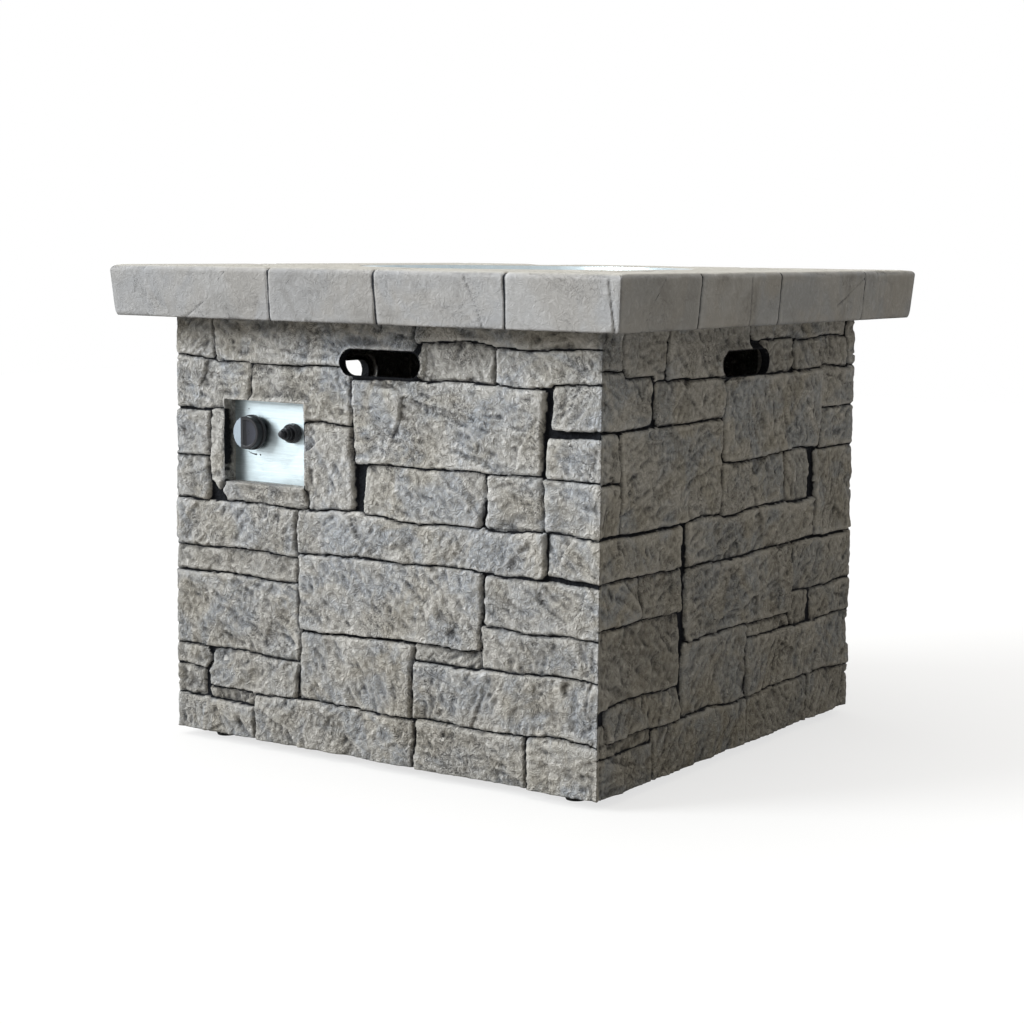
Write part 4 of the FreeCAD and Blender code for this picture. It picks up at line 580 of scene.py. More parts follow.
def stoneRock(wall, spot, u, v, slant):
    # swells, flat chips and grit, with wrinkles that run along each stone's own slant
    seed = wall["seed"]
    swirl = waves(spot, *relief["swirl"])
    along = u * np.cos(slant) + v * np.sin(slant) + swirl
    across = v * np.cos(slant) - u * np.sin(slant) + swirl
    lay = np.stack([along / relief["stretched"], across, seed * 31.0 + 50 * slant], axis=-1)
    return (swells(spot, *relief["swell"]) + flats(along, across * 1.3, seed, *relief["flats"])
            + flats(across, along, seed + 1, *relief["smallFlats"]) + ridges(lay, *relief["fineRidges"])
            + ridges(lay, *relief["ridges"]) + waves(spot, *relief["grit"]))


def stoneField(wall, u, v):
    # depth behind the outermost plane, distance to the stone's border, tone with painted shade, and how far
    # the
    # point has risen: a stone rises steeply from a crease halfway to the next one to its leaning face, and the
    # depth is the floor less the rise times the way up to the face and its rock
    shape = u.shape
    u, v = u.ravel(), v.ravel()
    spot = wallPoint(wall, u, v, 0)
    bentU, bentV = withNoise(u, spot, relief["bendU"]), withNoise(v, spot, relief["bendV"])
    stone = stoneAreas(wall, bentU, bentV)
    # upright joints slope away widely, level ones are thin
    bevel = withNoise(relief["bevel"] + relief["sideBevel"] * stone["sideways"], spot, relief["bevelWaves"])
    bevel = bevel * stone["steep"]
    climb = 1 - np.clip((stone["border"] - relief["thin"]) / bevel, 0, 1)
    rise = (1 - climb ** relief["bulge"]) ** (1 / relief["bulge"])
    # openings are cut through the stones, so the stone stays proud beside them
    beside = slotDistance(wall, u, v)[0]
    if wall is walls["front"]:
        beside = np.minimum(beside, boxDistance(u, v, base["window"]))
    beside = 1 - smooth(beside / relief["besideHole"])
    rise = np.maximum(rise, 0.92 * beside)
    calm = 1 - 0.8 * beside
    rock = stoneRock(wall, spot, bentU, bentV, stone["slant"]) * calm
    face = stone["face"] * calm
    floorDepth = withNoise(relief["floor"], spot, relief["floorWaves"])
    depth = floorDepth - rise * (floorDepth - face + rock)
    # crests that pass the least depth are bent back under it
    least, soft = relief["least"], relief["soft"]
    bent = least - soft * (1 - np.exp((np.minimum(depth, least) - least) / soft))
    depth = np.where(depth < least, bent, depth)
    return [field.reshape(shape) for field in (depth, stone["border"], stone["toneAndShade"], rise)]


def cornerDepth(wallName, side, v):
    # both walls' mean depth beside their shared corner, so that they meet on its mitre; less at the joints
    # than on the faces, and leaning in towards the top
    wall, other = walls[wallName], walls[walls[wallName]["beside"][side]]
    places = np.full(v.shape, corner["at"]), np.full(v.shape, wallSide - corner["at"])
    here, there = stoneField(wall, places[side], v)[0], stoneField(other, places[1 - side], v)[0]
    mean = (here + there) / 2
    faces, joints = corner["shares"]
    return (corner["least"] + np.minimum(mean, corner["change"]) * faces
            + np.maximum(mean - corner["change"], 0) * joints + corner["lean"] * v / wallTall)


def inBox(u, v, box):
    return (u > box[0]) & (u < box[2]) & (v > box[1]) & (v < box[3])


def keptCells(wall, u, v, hole):
    # cells whose middle is in neither the hole nor the slot, and the grid with its rim moved onto the slot
    midU = (u[1:, 1:] + u[:-1, :-1]) / 2
    midV = (v[1:, 1:] + v[:-1, :-1]) / 2
    kept = slotDistance(wall, midU, midV)[0] > 0
    if hole is not None:
        kept &= ~inBox(midU, midV, hole)
    ring = np.pad(kept, 1)
    around = [ring[:-1, :-1], ring[:-1, 1:], ring[1:, :-1], ring[1:, 1:]]
    distance, alongU, alongV = slotDistance(wall, u, v)
    snap = np.any(around, axis=0) & ~np.all(around, axis=0) & (np.abs(distance) < 1.5 * cell)
    u, v = np.where(snap, u - distance * alongU, u), np.where(snap, v - distance * alongV, v)
    return kept, ring, u, v, distance


def rimEdges(index, kept, ring):
    # directed edges of kept cells that have no kept neighbour across them
    edges = []
    for start, end, beside in (
        (index[:-1, :-1], index[:-1, 1:], ring[:-2, 1:-1]), (index[1:, 1:], index[1:, :-1], ring[2:, 1:-1]),
        (index[:-1, 1:], index[1:, 1:], ring[1:-1, 2:]), (index[1:, :-1], index[:-1, :-1], ring[1:-1, :-2]),
    ):
        bare = kept & ~beside
        edges.append(np.stack([start[bare], end[bare]], axis=-1))
    return np.concatenate(edges)


def stonePiece(name, wallName, uMarks, vMarks, hole, body, replaced=(), mitred=True):
    # a closed wall: the stones' relief outside, rims round the edge and the holes, and a flat inner face
    wall = walls[wallName]
    u, v = np.meshgrid(gridLine(uMarks), gridLine(vMarks))
    rows, columns = u.shape
    kept, ring, u, v, distance = keptCells(wall, u, v, hole)
    depth, border, toneAndShade, rise = stoneField(wall, u, v)
    shift = np.zeros(u.shape)
    if mitred:
        for side in (0, 1):
            away = u if side == 0 else wallSide - u
            meeting = cornerDepth(wallName, side, v[:, 0])[:, None]
            depth = depth + (meeting - depth) * (1 - smooth(away / corner["blend"]))
            shift = shift + (1 - 2 * side) * depth * (1 - smooth(away / corner["shift"]))
    crevice = depth - softened(depth, 9)
    broad = depth - softened(depth, 60)
    # dark joints reaching up the lower sides of the stones, partly a dark wash and partly painted shade
    creased = np.maximum(1 - smooth((border - 0.3) / 1.9), 0.95 * smooth((0.55 - rise) / 0.4))
    values = {
        # painted shade: darker in hollows, over broad low areas and in a band round each stone's edge
        "crevice": np.clip(crevice / 1.5 + broad / 10 + 0.38 * (1 - smooth(border / 9)), 0, 1),
        # painted highlight where the surface stands above its surroundings
        "ridgeHighlight": np.clip(-crevice / 1.2, 0, 1),
        # dark joints, and painted shade round the hand slot's edge
        "joint": np.maximum(creased, 0.85 * (1 - smooth(distance / 3))),
        "toneAndShade": toneAndShade,
    }
    outer = wallPoint(wall, (u + shift).ravel(), v.ravel(), depth.ravel())
    index = np.arange(rows * columns).reshape(rows, columns)
    quads = np.stack([index[:-1, :-1], index[:-1, 1:], index[1:, 1:], index[1:, :-1]], axis=-1)[kept]
    rim = rimEdges(index, kept, ring)
    edgeIds = np.unique(rim)
    onEdge = np.zeros(rows * columns, dtype=bool)
    onEdge[index[0]] = onEdge[index[-1]] = onEdge[index[:, 0]] = onEdge[index[:, -1]] = True
    flatU, flatV = u.ravel()[edgeIds], v.ravel()[edgeIds]
    innerU = flatU
    if mitred:
        thick = base["thick"]
        innerU = np.where(onEdge[edgeIds], thick + flatU * (wallSide - 2 * thick) / wallSide, flatU)
    # the slot's rim ends in a wider pocket, while other rims go straight through
    away, outU, outV = slotDistance(wall, flatU, flatV)
    onSlot = np.abs(away) < 0.02
    innerU = np.where(onSlot, flatU + handSlot["pocket"] * outU, innerU)
    innerV = np.where(onSlot, flatV + handSlot["pocket"] * outV, flatV)
    count = len(edgeIds)
    rimDeep, allDeep = np.full(count, handSlot["rim"]), np.full(count, base["thick"])
    inner = np.concatenate([wallPoint(wall, innerU, innerV, allDeep), wallPoint(wall, flatU, flatV, rimDeep),
                            wallPoint(wall, innerU, innerV, rimDeep)])
    innerId = np.full(rows * columns, -1)
    innerId[edgeIds] = np.arange(count) + rows * columns
    stepsIn = np.all(onSlot[innerId[rim] - rows * columns], axis=1)
    plain, stepped = rim[~stepsIn], rim[stepsIn]
    start, end = innerId[stepped[:, 0]], innerId[stepped[:, 1]]
    rimQuads = np.concatenate([
        np.stack([plain[:, 1], plain[:, 0], innerId[plain[:, 0]], innerId[plain[:, 1]]], axis=-1),
        np.stack([stepped[:, 1], stepped[:, 0], start + count, end + count], axis=-1),
        np.stack([end + count, start + count, start + 2 * count, end + 2 * count], axis=-1),
        np.stack([end + 2 * count, start + 2 * count, start, end], axis=-1),
    ])
    flat = np.stack([innerU, innerV], axis=-1)
    triangles = triangleFill(flat, innerId[rim] - rows * columns)[:, ::-1]
    middle = flat[triangles].mean(axis=1)
    solid = slotDistance(wall, middle[:, 0], middle[:, 1])[0] > handSlot["pocket"] - 0.05
    if hole is not None:
        solid &= ~inBox(middle[:, 0], middle[:, 1], hole)
    triangles = triangles[solid] + rows * columns

    points = np.concatenate([outer, inner])
    used = np.unique(np.concatenate([quads.ravel(), rimQuads.ravel(), triangles.ravel()]))
    renumber = np.full(len(points), -1)
    renumber[used] = np.arange(len(used))
    faces = renumber[quads].tolist() + renumber[rimQuads].tolist() + renumber[triangles].tolist()
    flags = np.zeros(len(faces), dtype=bool)
    flags[:len(quads)] = True
    # painted shade deeper into the rims of the openings and the slot
    plainValues = {"crevice": 0.0, "ridgeHighlight": 0.0, "joint": 0.35, "toneAndShade": 0.3}
    inners = {label: np.full(len(inner), amount) for label, amount in plainValues.items()}
    inners["joint"][count:2 * count] = 1.0  # painted shade inside the slot
    values = {label: np.concatenate([amounts.ravel(), inners[label]])[used]
              for label, amounts in values.items()}
    return buildPiece(name, points[used], faces, body, "moulded_stone", replaced, flags, values)


# table top in four mitred quarters; sizes in mm: half its width, its bottom, top, rounded edge, lean of its
# sides, width of the border blocks, the bore and the seat of the bowl, and the pocket under it
slab = {"half": 381.0, "low": 546.0, "high": 610.0, "arris": 7.0, "draft": 4.5, "border": 125.0,
        "bore": 202.0, "seat": 218.5, "seatDeep": 2.0, "roof": 588.0, "pocket": 253.0}
slabSide = 2 * slab["half"]
# joints along each edge and cracks across the faces, as ends in mm along the edge and up the face
frontJoints, sideJoints = (262, 425, 608), (175, 371, 605)
frontCracks = (((118, -4), (160, 22)), ((160, 22), (203, 66)), ((268, 18), (306, 60)),
               ((548, 70), (566, 30)), ((566, 30), (580, -6)), ((744, 64), (752, 2)))
sideCracks = (((48, -3), (70, 30)), ((70, 30), (100, 66)), ((293, 66), (300, 2)), ((530, 20), (602, 54)))
edges = {
    "front": {"along": (1, 0), "outward": (0, -1), "joints": frontJoints, "cracks": frontCracks, "seed": 2},
    "right": {"along": (0, 1), "outward": (1, 0), "joints": sideJoints, "cracks": sideCracks, "seed": 4},
    "back": {"along": (-1, 0), "outward": (0, 1), "joints": frontJoints, "cracks": sideCracks, "seed": 6},
    "left": {"along": (0, -1), "outward": (-1, 0), "joints": sideJoints, "cracks": frontCracks, "seed": 9},
}
# the top's relief in mm: noise layers are amount, size and seed, chips amount, size and hollow, and lines are
# the depth and width of the line itself, then of its soft sides
wear = {
    "wobble": ((2.2, 70, 301), (0.8, 20, 302)), "warpU": (6, 40, 311), "warpV": (6, 40, 312),
    "swell": (1.5, 90, 321), "flats": (3.2, 64, 0.35), "smallFlats": (1.0, 24, 0.4), "grit": (0.3, 8, 331),
    "dents": (1.6, 60, 341), "joint": (2.6, 1.9, 1.3, 6), "crack": (1.3, 1.4, 0.7, 5), "bottom": (2.0, 3),
    "mitre": (0.8, 3),
    "mitreBlend": 25, "seatBlend": 14, "least": 0.1,
}


def segmentDistance(u, v, start, end):
    # distance to the nearest point of a straight piece: its start plus the share of the run that lies beside
    run = (end[0] - start[0], end[1] - start[1])
    share = np.clip(((u - start[0]) * run[0] + (v - start[1]) * run[1]) / (run[0] ** 2 + run[1] ** 2), 0, 1)
    return np.hypot(u - start[0] - share * run[0], v - start[1] - share * run[1])


def slabSection():
    # inset from the edge, height, and share of the turn to the upper face, up the side and round the edge
    arris, low, high = slab["arris"], slab["low"], slab["high"]
    steps = np.linspace(0, 1, round(60 / cell) + 1)
    face = [(slab["draft"] * (1 - t), low + (high - low - arris) * t, 0.0) for t in steps]
    turn = np.linspace(0, math.pi / 2, 7)[1:]
    face += [(arris * (1 - math.cos(a)), high - arris + arris * math.sin(a), a / (math.pi / 2)) for a in turn]
    return np.array(face).T


def slabRelief(edge, surface, topShare, columns):
    # how deep each point lies under the plain form, and the values for the material: block joints, cracks and
    # broken faces, level at the mitres and at the bowl's seat
    flat, shape = surface.reshape(-1, 3), surface.shape[:2]
    along, outward = edge["along"], edge["outward"]
    depthIn = slab["half"] - np.abs(surface[..., 0] * outward[0] + surface[..., 1] * outward[1])
    across = surface[..., 0] * along[0] + surface[..., 1] * along[1] + slab["half"]
    rise = surface[..., 2] - slab["low"]
    wobble = withNoise(0, flat, wear["wobble"]).reshape(shape)
    joint = np.full(shape, 99.0)
    block = np.zeros(shape)
    for mark in edge["joints"]:
        joint = np.minimum(joint, np.abs(across + wobble - mark) + np.maximum(depthIn - slab["border"], 0))
        block = block + (across > mark)
    joint = np.minimum(joint, np.abs(depthIn - slab["border"] - 2 + wobble))
    crack = np.full(shape, 99.0)
    for start, end in edge["cracks"]:
        crack = np.minimum(crack, segmentDistance(across + 0.8 * wobble, rise, start, end) + 9 * topShare)
    blockId = block.astype(np.int64) + 7 * (depthIn > slab["border"])
    proud = hashUnit(blockId, blockId * 0 + edge["seed"], blockId * 0, 3)
    warpU = across + waves(flat, *wear["warpU"]).reshape(shape)
    warpV = rise + depthIn + waves(flat, *wear["warpV"]).reshape(shape)
    rough = (swells(flat, *wear["swell"]).reshape(shape) + flats(warpU, warpV, edge["seed"], *wear["flats"])
             + flats(warpV, warpU, edge["seed"] + 1, *wear["smallFlats"])
             + waves(flat, *wear["grit"]).reshape(shape))
    toMitre = np.minimum(columns, slabSide - columns)[:, None]
    middle = smooth(toMitre / wear["mitreBlend"])
    depth = 0.3 + 0.6 * topShare + (0.7 - 0.6 * topShare + 0.9 * (proud - 0.5) + 0.7 * rough) * middle
    for distance, label in ((joint, "joint"), (crack, "crack")):
        deep, wide, softDeep, softWide = wear[label]
        depth = depth + deep * np.exp(-(distance / wide) ** 2) + softDeep * np.exp(-distance / softWide)
    for distance, label, power in ((rise, "bottom", 1), (toMitre, "mitre", 2)):
        deep, wide = wear[label]
        depth = depth + deep * np.exp(-(distance / wide) ** power) * (1 - topShare)
    amount, size, seed = wear["dents"]
    dents = np.maximum(amount * (fractal(flat, size, seed, 2).reshape(shape) + 0.35), 0)
    depth = np.maximum(depth + dents * np.sin(math.pi * topShare), wear["least"])
    nearSeat = np.clip((np.hypot(surface[..., 0], surface[..., 1]) - slab["seat"]) / wear["seatBlend"], 0, 1)
    depth = np.where(topShare == 1, 0.2 + (depth - 0.2) * smooth(nearSeat), depth)
    crevice = depth - softened(depth, 8)
    return depth, {
        # painted shade in the hollows and painted highlight on the ridges
        "crevice": np.clip(crevice / 0.9, 0, 1), "ridgeHighlight": np.clip(-crevice / 0.9, 0, 1),
        "joint": 1 - smooth((np.minimum(joint, crack + 1.2) - 0.4) / 2.2), "toneAndShade": 0.35 + 0.4 * proud,
        # painted light on the upper face, rising over the rounded edge
        "crown": np.broadcast_to(smooth((topShare - 0.3) / 0.7), shape),
    }


def slabQuarter(name, replaced=()):
    # a closed section (columns) carried along the edge (rows), from the corner mitre to the next
    edge = edges[name]
    half, seat = slab["half"], slab["seat"]
    columns = gridLine((0,) + edge["joints"] + (slabSide,))
    inset, height, topness = slabSection()
    inward = np.linspace(0, 1, round(190 / cell) + 1)[1:]
    count = len(columns)
    swing = (columns / slabSide - 0.5) * math.pi / 2
    along, outward = np.array(edge["along"]), np.array(edge["outward"])

    def spots(acrossPart, outPart, z):
        flat = acrossPart[..., None] * along + outPart[..., None] * outward
        return np.concatenate([flat, np.broadcast_to(z, acrossPart.shape)[..., None]], axis=-1)

    def ringSpots(radius, z):
        return spots(radius * np.sin(swing), radius * np.cos(swing), z)[:, None]

    def squareSpots(reach, z):
        return spots((columns - half) * reach / half, np.full(count, reach), z)[:, None]

    share = (half - inset)[None] / half
    side = spots((columns - half)[:, None] * share, np.full((count, 1), half) * share, height)
    rim = side[:, -1:]
    top = rim + (ringSpots(seat, slab["high"]) - rim) * inward[None, :, None]
    surface = np.concatenate([side, top], axis=1)
    topShare = np.concatenate([topness, np.ones(len(inward))])[None]
    depth, values = slabRelief(edge, surface, topShare, columns)
    # the sides are pushed in towards the middle and the upper face down
    moved = surface.copy()
    moved[..., :2] *= (1 - depth * (1 - topShare) / half)[..., None]
    moved[..., 2] -= depth * topShare

    seatHigh, pocket = slab["high"] - slab["seatDeep"], slab["pocket"]
    hidden = [ringSpots(seat, seatHigh), ringSpots(slab["bore"], seatHigh),
              ringSpots(slab["bore"], slab["roof"]), squareSpots(pocket, slab["roof"]),
              squareSpots(pocket, slab["low"]), squareSpots((pocket + half) / 2, slab["low"])]
    points = np.concatenate([moved] + hidden, axis=1)
    total = points.shape[1]
    index = np.arange(count * total).reshape(count, total)
    ahead = np.roll(index, -1, axis=1)
    quads = np.stack([index[:-1], index[1:], ahead[1:], ahead[:-1]], axis=-1)
    flags = np.zeros((count - 1, total), dtype=bool)
    flags[:, :surface.shape[1] - 1] = True
    faces = quads.reshape(-1, 4).tolist() + [index[0].tolist(), index[-1][::-1].tolist()]
    flags = np.concatenate([flags.ravel(), [False, False]])
    values = {label: np.concatenate([amounts, np.zeros((count, len(hidden)))], axis=1).ravel()
              for label, amounts in values.items()}
    return buildPiece("top_" + name, points.reshape(-1, 3), faces, "table", "top_stone", replaced, flags,
                      values)


# ledge inside the base, in mm: half its outer and inner width, its bottom and top, and the hole for the hose
ledge = {"outer": 304.0, "inner": 254.0, "low": 11.0, "high": 25.0, "holeAt": (-203.0, -276.5),
         "holeRound": 20.0}


def loopPlate(name, loops, low, high, body, slot, replaced=()):
    # flat plate between two heights; the first loop is its outline and the others are holes in it
    flat = np.concatenate(loops)
    starts = np.cumsum([0] + [len(loop) for loop in loops])
    runs = [np.arange(a, b) for a, b in zip(starts, starts[1:])]
    sides = np.concatenate([np.stack([run, np.roll(run, -1)], axis=-1) for run in runs])
    triangles = triangleFill(flat, sides)
    # a triangle is kept where a line from its middle crosses the loops an odd number of times
    middle = flat[triangles].mean(axis=1)[:, None]
    start, end = flat[sides[:, 0]][None], flat[sides[:, 1]][None]
    spans = (start[..., 1] > middle[..., 1]) != (end[..., 1] > middle[..., 1])
    rise = np.where(np.abs(end[..., 1] - start[..., 1]) < 1e-9, 1e-9, end[..., 1] - start[..., 1])
    meets = start[..., 0] + (middle[..., 1] - start[..., 1]) / rise * (end[..., 0] - start[..., 0])
    triangles = triangles[(spans & (middle[..., 0] < meets)).sum(axis=1) % 2 == 1]
    count = len(flat)
    points = np.concatenate([np.column_stack([flat, np.full(count, z)]) for z in (low, high)])
    uprights = np.column_stack([sides[:, 0], sides[:, 1], sides[:, 1] + count, sides[:, 0] + count])
    faces = (triangles + count).tolist() + triangles[:, ::-1].tolist() + uprights.tolist()
    return buildPiece(name, points, faces, body, slot, replaced, np.zeros(len(faces), dtype=bool))


def squareLoop(half):
    return np.array([(-half, -half), (half, -half), (half, half), (-half, half)])


def circleLoop(centre, radius, steps=48):
    # evenly spaced points round a circle, clockwise
    turn = -np.linspace(0, 2 * math.pi, steps, endpoint=False)
    return np.column_stack([centre[0] + radius * np.cos(turn), centre[1] + radius * np.sin(turn)])


loopPlate("base_ledge", [squareLoop(ledge["outer"]), squareLoop(ledge["inner"])[::-1],
                         circleLoop(ledge["holeAt"], ledge["holeRound"])],
          ledge["low"], ledge["high"], "table", "moulded_stone")


# lava rocks in rings on the bowl's floor, in mm: each ring's radius and how many rocks it has in the upper and
# the lower layer, a rock's radius, the bowl's floor, the crest of the lower layer and the top of the upper one
rocks = {"rings": ((0.0, 1, 0), (36.5, 6, 6), (75.0, 12, 12), (120.0, 18, 0), (166.0, 25, 25)), "round": 18.5,
         "floor": 547.5, "crest": 576.7, "top": 610.0, "burner": 120.0, "narrow": 0.92, "reach": (0.6, 1.0)}
# a rock's lumps and pits: amount, size and seed of the noise on its directions
lumps = {"lump": ((0.26, 0.9, 401), (0.10, 0.42, 402)), "pit": (1, 0.24, 403), "plain": 0.86,
         "pitted": 0.28, "pitFrom": 0.12}


def lumpBatch(name, centres, heights, seeds, detail, replaced):
    # a ball stretched to each rock's height, pushed in and out by noise on its directions, with pits
    ball = bmesh.new()
    bmesh.ops.create_icosphere(ball, subdivisions=detail, radius=1)
    ways = np.array([vert.co for vert in ball.verts])
    corners = np.array([[vert.index for vert in face.verts] for face in ball.faces])
    ball.free()
    count, size = len(centres), len(ways)
    spin = seeds[:, None] * 2.4
    turned = np.stack([ways[:, 0] * np.cos(spin) - ways[:, 1] * np.sin(spin),
                       ways[:, 0] * np.sin(spin) + ways[:, 1] * np.cos(spin), ways[:, 2] + spin * 0], axis=-1)
    probe = (ways[None] + seeds[:, None, None] * 5.37).reshape(-1, 3)
    lump = withNoise(lumps["plain"], probe, lumps["lump"])
    pit = np.maximum(waves(probe, *lumps["pit"]) - lumps["pitFrom"], 0)
    reach = (np.clip(lump, *rocks["reach"]) - lumps["pitted"] * pit).reshape(count, size, 1)
    wide = np.full(count, rocks["round"])
    scale = np.stack([wide, wide * rocks["narrow"], heights / 2], axis=-1)
    points = centres[:, None] + turned * reach * scale[:, None]
    faces = (corners[None] + (np.arange(count) * size)[:, None, None]).reshape(-1, 3)
    # painted shade in the rock's pits
    hollow = np.clip(pit * 5, 0, 1)
    return buildPiece(name, points.reshape(-1, 3), faces.tolist(), "table", "lava_rock", replaced, None,
                      {"crevice": hollow, "toneAndShade": np.repeat((np.sin(seeds * 7.1) + 1) / 2, size)})


def rockSpots(layer, clear):
    # the rings' rocks; inside the burner's ring they keep clear of its cross tube
    spots = []
    for reach, *counts in rocks["rings"]:
        count = counts[layer]
        turn = 2 * math.pi * np.arange(count) / max(count, 1)
        ring = np.column_stack([reach * np.cos(turn), reach * np.sin(turn)])
        if clear and reach < rocks["burner"]:
            ring = ring[np.abs(ring[:, 1]) >= rocks["round"]]
        spots.append(ring)
    return np.concatenate(spots)


upper, lower = rockSpots(0, False), rockSpots(1, True)
seeds = np.arange(len(upper)) + 1.0
room = (rocks["top"] - rocks["crest"]) * (0.66 + 0.13 * np.sin(seeds * 2.4))
lumpBatch("lava_lumps_upper", np.column_stack([upper, rocks["crest"] + room / 2]), room, seeds,
          3, ("lava_rocks_upper",))
tall = np.full(len(lower), rocks["crest"] - rocks["floor"])
lumpBatch("lava_lumps_lower", np.column_stack([lower, rocks["floor"] + tall / 2]), tall,
          np.arange(len(lower)) + 100.5, 2, ("lava_rocks_lower",))
print("ledge and rocks done", flush=True)


# printed marks on the control plate, in mm and degrees: the knob's centre, the plate's front, an arc that
# gets wider along its turn, and dots given as turn, distance and radius
dial = {"centre": (-203.0, 402.0), "front": -304.0, "lift": 0.12, "arc": (-117, -88), "arcRound": 28.5,
        "arcWide": (0.5, 2.4), "dots": ((-77, 29.5, 1.2), (113, 31.0, 0.8))}


def dialMark(name, loop):
    # thin raised print: the loop on the plate's front, closed by a copy just inside the plate
    count = len(loop)
    layers = [np.column_stack([loop[:, 0], np.full(count, y), loop[:, 1]])
              for y in (dial["front"] - dial["lift"], dial["front"] + dial["lift"])]
    index = np.arange(count)
    ahead = np.roll(index, -1)
    sides = np.column_stack([ahead, index, index + count, ahead + count])
    faces = [index.tolist(), (index[::-1] + count).tolist()] + sides.tolist()
    buildPiece(name, np.concatenate(layers), faces, "table", "black_plastic")


turns = np.radians(np.linspace(*dial["arc"], 14))
wide = np.linspace(*dial["arcWide"], 14) / 2
reaches = [dial["arcRound"] + side * wide for side in (-1, 1)]
rims = [np.array(dial["centre"]) + reach[:, None] * np.column_stack([np.cos(turns), np.sin(turns)])
        for reach in reaches]
dialMark("dial_arc", np.concatenate([rims[1], rims[0][::-1]]))
for number, (turn, reach, size) in enumerate(dial["dots"], start=1):
    turn = math.radians(turn)
    middle = (dial["centre"][0] + reach * math.cos(turn), dial["centre"][1] + reach * math.sin(turn))
    dialMark("dial_dot_%d" % number, circleLoop(middle, size, 16)[::-1])


# control knob, in mm: its centre, rear, skirt, length, radii of skirt and drum, rounded edge, radius and depth
# of the stem's bore, the bright segment's chord and seat, and the hollow's start, outer radius and depth
knob = {"centre": (-203.0, 402.0), "rear": -309.5, "skirt": 5.0, "long": 15.0, "round": 22.25, "drum": 20.5,
        "edge": 0.8, "bore": (3.05, 12.5), "chord": -8.0, "seat": 1.25, "lens": (-4.5, 16.6, 6.0),
        "steps": 96}


def knobHollow(x, z):
    # recess behind the face: the segment's seat left of the chord, and between the chord's band and the
    # outer ring a scoop that gets deeper away from the band
    start, ring, deep = knob["lens"]
    reach = np.hypot(x, z)
    span = np.clip((x - start) / (ring - start), 0, 1)
    scoop = deep * span ** 0.8 * smooth((ring - reach) / 1.1) * smooth((x - start) / 0.8)
    return np.where(x < knob["chord"], knob["seat"], scoop)


def buildKnob():
    # rows of rings from the bottom of the stem's bore, out over the skirt and drum, and in across the face
    bore, depth = knob["bore"]
    front, edge = knob["long"], knob["edge"]
    skirt, wide, drum = knob["skirt"], knob["round"], knob["drum"]
    profile = [(bore, depth), (bore, 0), (wide - edge, 0), (wide, edge), (wide, skirt - 1), (wide - 1, skirt),
               (drum, skirt), (drum, front - edge), (drum - edge, front)]
    flat = [(radius, front) for radius in np.linspace(drum - edge, 0.4, 60)[1:]]
    radius, out = (np.array(column, dtype=float)[:, None] for column in zip(*(profile + flat)))
    turn = np.linspace(0, 2 * math.pi, knob["steps"], endpoint=False)[None]
    x, z = radius * np.cos(turn), radius * np.sin(turn)
    onFace = np.arange(len(radius))[:, None] >= len(profile)
    forward = out - np.where(onFace, knobHollow(x, z), 0)
    points = np.stack([knob["centre"][0] + x, knob["rear"] - forward, knob["centre"][1] + z], axis=-1)
    index = np.arange(x.size).reshape(x.shape)
    ahead = np.roll(index, -1, axis=1)
    quads = np.stack([index[:-1], ahead[:-1], ahead[1:], index[1:]], axis=-1).reshape(-1, 4).tolist()
    faces = quads + [index[0][::-1].tolist(), index[-1].tolist()]
    flags = np.zeros(len(faces), dtype=bool)
    flags[len(profile) * knob["steps"]:-2] = True
    # painted highlight: the knob's scoop right of its axis is lighter where it is deeper
    knobSheen = np.where(onFace & (x > 0), knobHollow(x, z) / knob["lens"][2], 0)
    buildPiece("knob_grip", points.reshape(-1, 3), faces, "knob", "black_plastic", ("control_knob",), flags,
               {"knobSheen": np.clip(knobSheen, 0, 1).ravel()})


buildKnob()
print("dial and knob done", flush=True)


def gridMarks(hole):
    # where a wall's grid lines have to land, along it and up it: its ends and the sides of the hole
    return (0, hole[0], hole[2], wallSide), (0, hole[1], hole[3], wallTall)


plainMarks = (0, wallSide), (0, wallTall)
window, doorway, door = base["window"], base["doorway"], base["door"]
stonePiece("wall_front", "front", *gridMarks(window), window, "table", ("stone_body",))
stonePiece("wall_right", "right", *plainMarks, None, "table")
stonePiece("wall_back", "back", *plainMarks, None, "table")
stonePiece("wall_left", "left", *gridMarks(doorway), doorway, "table")
stonePiece("door_panel", "left", door[::2], door[1::2], None, "door", ("access_door",), False)
print("walls done", flush=True)
slabQuarter("front", ("table_top",))
slabQuarter("right")
slabQuarter("back")
slabQuarter("left")
print("table top done", flush=True)

# floor, lamps and camera, which was solved from the photo's edges; place and lens in mm, turns in degrees
studio = {
    "floorSize": 12, "floorColor": (0.9, 0.9, 0.9), "floorGlow": 0.7, "dull": (0.3, 0.285, 0.26, 1),
    "key": (46, 22, 28, 3.7, (0.95, 0.985, 1.0)), "above": (60, 76, 50, 1.5, (1, 1, 1)),
    "roomColor": (1.0, 0.94, 0.8, 1), "roomPower": 0.345,
}
view = {"place": (1557.64, -2296.88, 641.85), "yaw": 34.477, "pitch": -7.31, "roll": 0.566, "lens": 73.85}
bpy.ops.mesh.primitive_plane_add(size=studio["floorSize"])
floor = bpy.context.object
floor.name = "floor"
floorLook = principled("floor", studio["floorColor"], 0.9)
floorTree = floorLook.node_tree


def seenRays(tree):
    # rays that show the surroundings in the picture: straight, mirrored, or through something clear
    rays = addNode(tree, "ShaderNodeLightPath").outputs
    shown = maths(tree, "MAXIMUM", rays["Is Camera Ray"], rays["Is Glossy Ray"])
    return maths(tree, "MAXIMUM", shown, rays["Is Transmission Ray"])


def mixShader(tree, factor, first, second):
    return addNode(tree, "ShaderNodeMixShader", None, i0=factor, i1=first, i2=second).outputs[0]


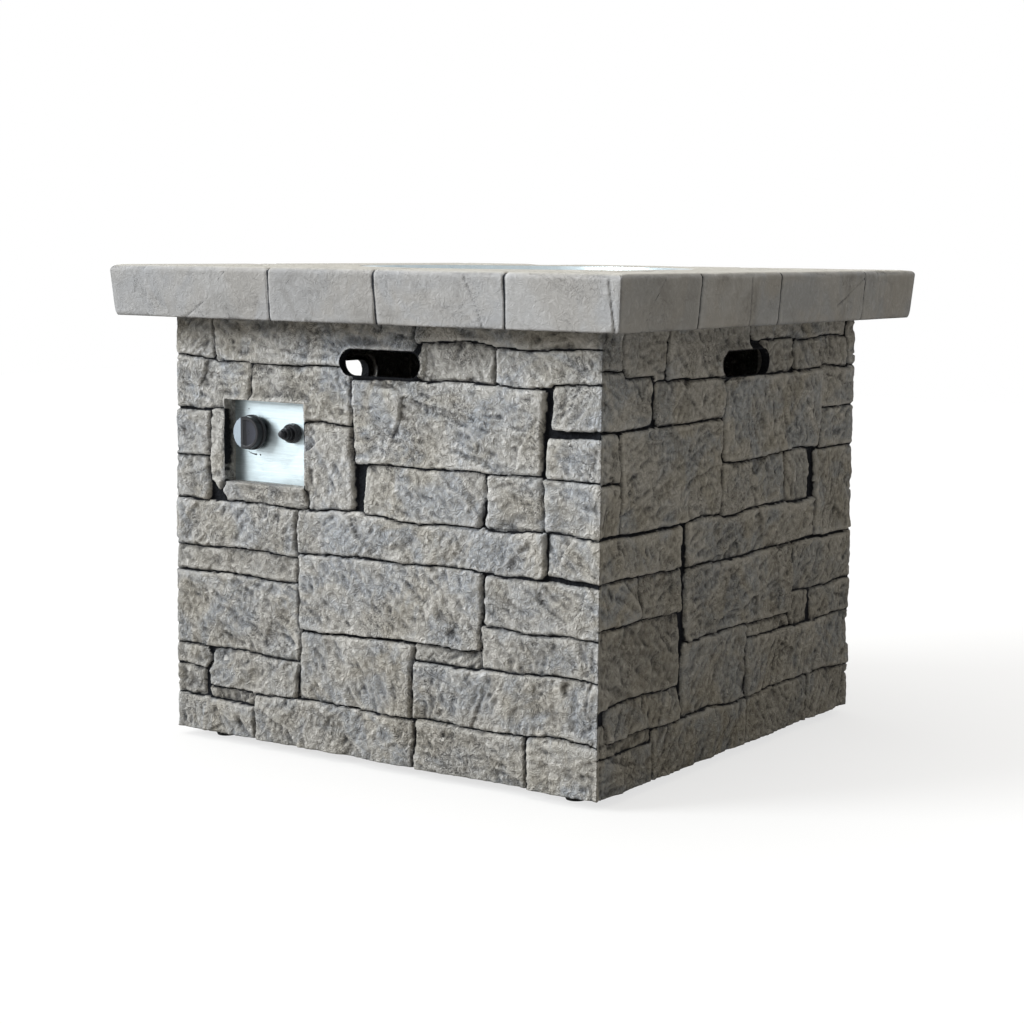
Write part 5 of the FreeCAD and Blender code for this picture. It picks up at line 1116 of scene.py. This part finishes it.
# the picture's floor glows by its own share, which keeps the shadow pale; other rays meet a dull floor
dull = addNode(floorTree, "ShaderNodeBsdfDiffuse", None, Color=studio["dull"]).outputs[0]
bright = addNode(floorTree, "ShaderNodeEmission", None, Color=(1, 1, 1, 1), Strength=1.0).outputs[0]
paleFloor = mixShader(floorTree, studio["floorGlow"], floorTree.nodes["Principled BSDF"].outputs[0], bright)
bothFloors = mixShader(floorTree, seenRays(floorTree), dull, paleFloor)
floorTree.links.new(bothFloors, floorTree.nodes["Material Output"].inputs["Surface"])
floor.data.materials.append(floorLook)


def addSun(name, heading, height, spread, power, color):
    # heading is degrees from the front towards the left, and height is degrees above the floor
    data = bpy.data.lights.new(name, "SUN")
    data.angle = math.radians(spread)
    data.energy = power
    data.color = color
    lamp = bpy.data.objects.new(name, data)
    bpy.context.scene.collection.objects.link(lamp)
    side, up = math.radians(heading), math.radians(height)
    source = Vector((-math.sin(side) * math.cos(up), -math.cos(side) * math.cos(up), math.sin(up)))
    lamp.matrix_world = Matrix.Translation(source * 4) @ source.to_track_quat("Z", "Y").to_matrix().to_4x4()


addSun("key", *studio["key"])
addSun("above", *studio["above"])

world = bpy.data.worlds.new("studio")
bpy.context.scene.world = world
world.use_nodes = True
sky = world.node_tree
backdrop = sky.nodes["Background"]
backdrop.inputs["Color"].default_value = (1, 1, 1, 1)
room = addNode(sky, "ShaderNodeBackground", None, Color=studio["roomColor"], Strength=studio["roomPower"])
picture = mixShader(sky, seenRays(sky), room.outputs[0], backdrop.outputs[0])
sky.links.new(picture, sky.nodes["World Output"].inputs["Surface"])

cameraData = bpy.data.cameras.new("photo_view")
cameraData.sensor_width = 36
cameraData.lens = view["lens"]
cameraData.clip_end = 50
camera = bpy.data.objects.new("photo_view", cameraData)
bpy.context.scene.collection.objects.link(camera)
camera.matrix_world = (Matrix.Translation(Vector(view["place"]) / 1000)
                       @ Matrix.Rotation(math.radians(view["yaw"]), 4, "Z")
                       @ Matrix.Rotation(math.radians(90 + view["pitch"]), 4, "X")
                       @ Matrix.Rotation(math.radians(view["roll"]), 4, "Z"))
bpy.context.scene.camera = camera
bpy.context.scene.view_settings.view_transform = "Standard"
print("floor, lamps and camera done", flush=True)
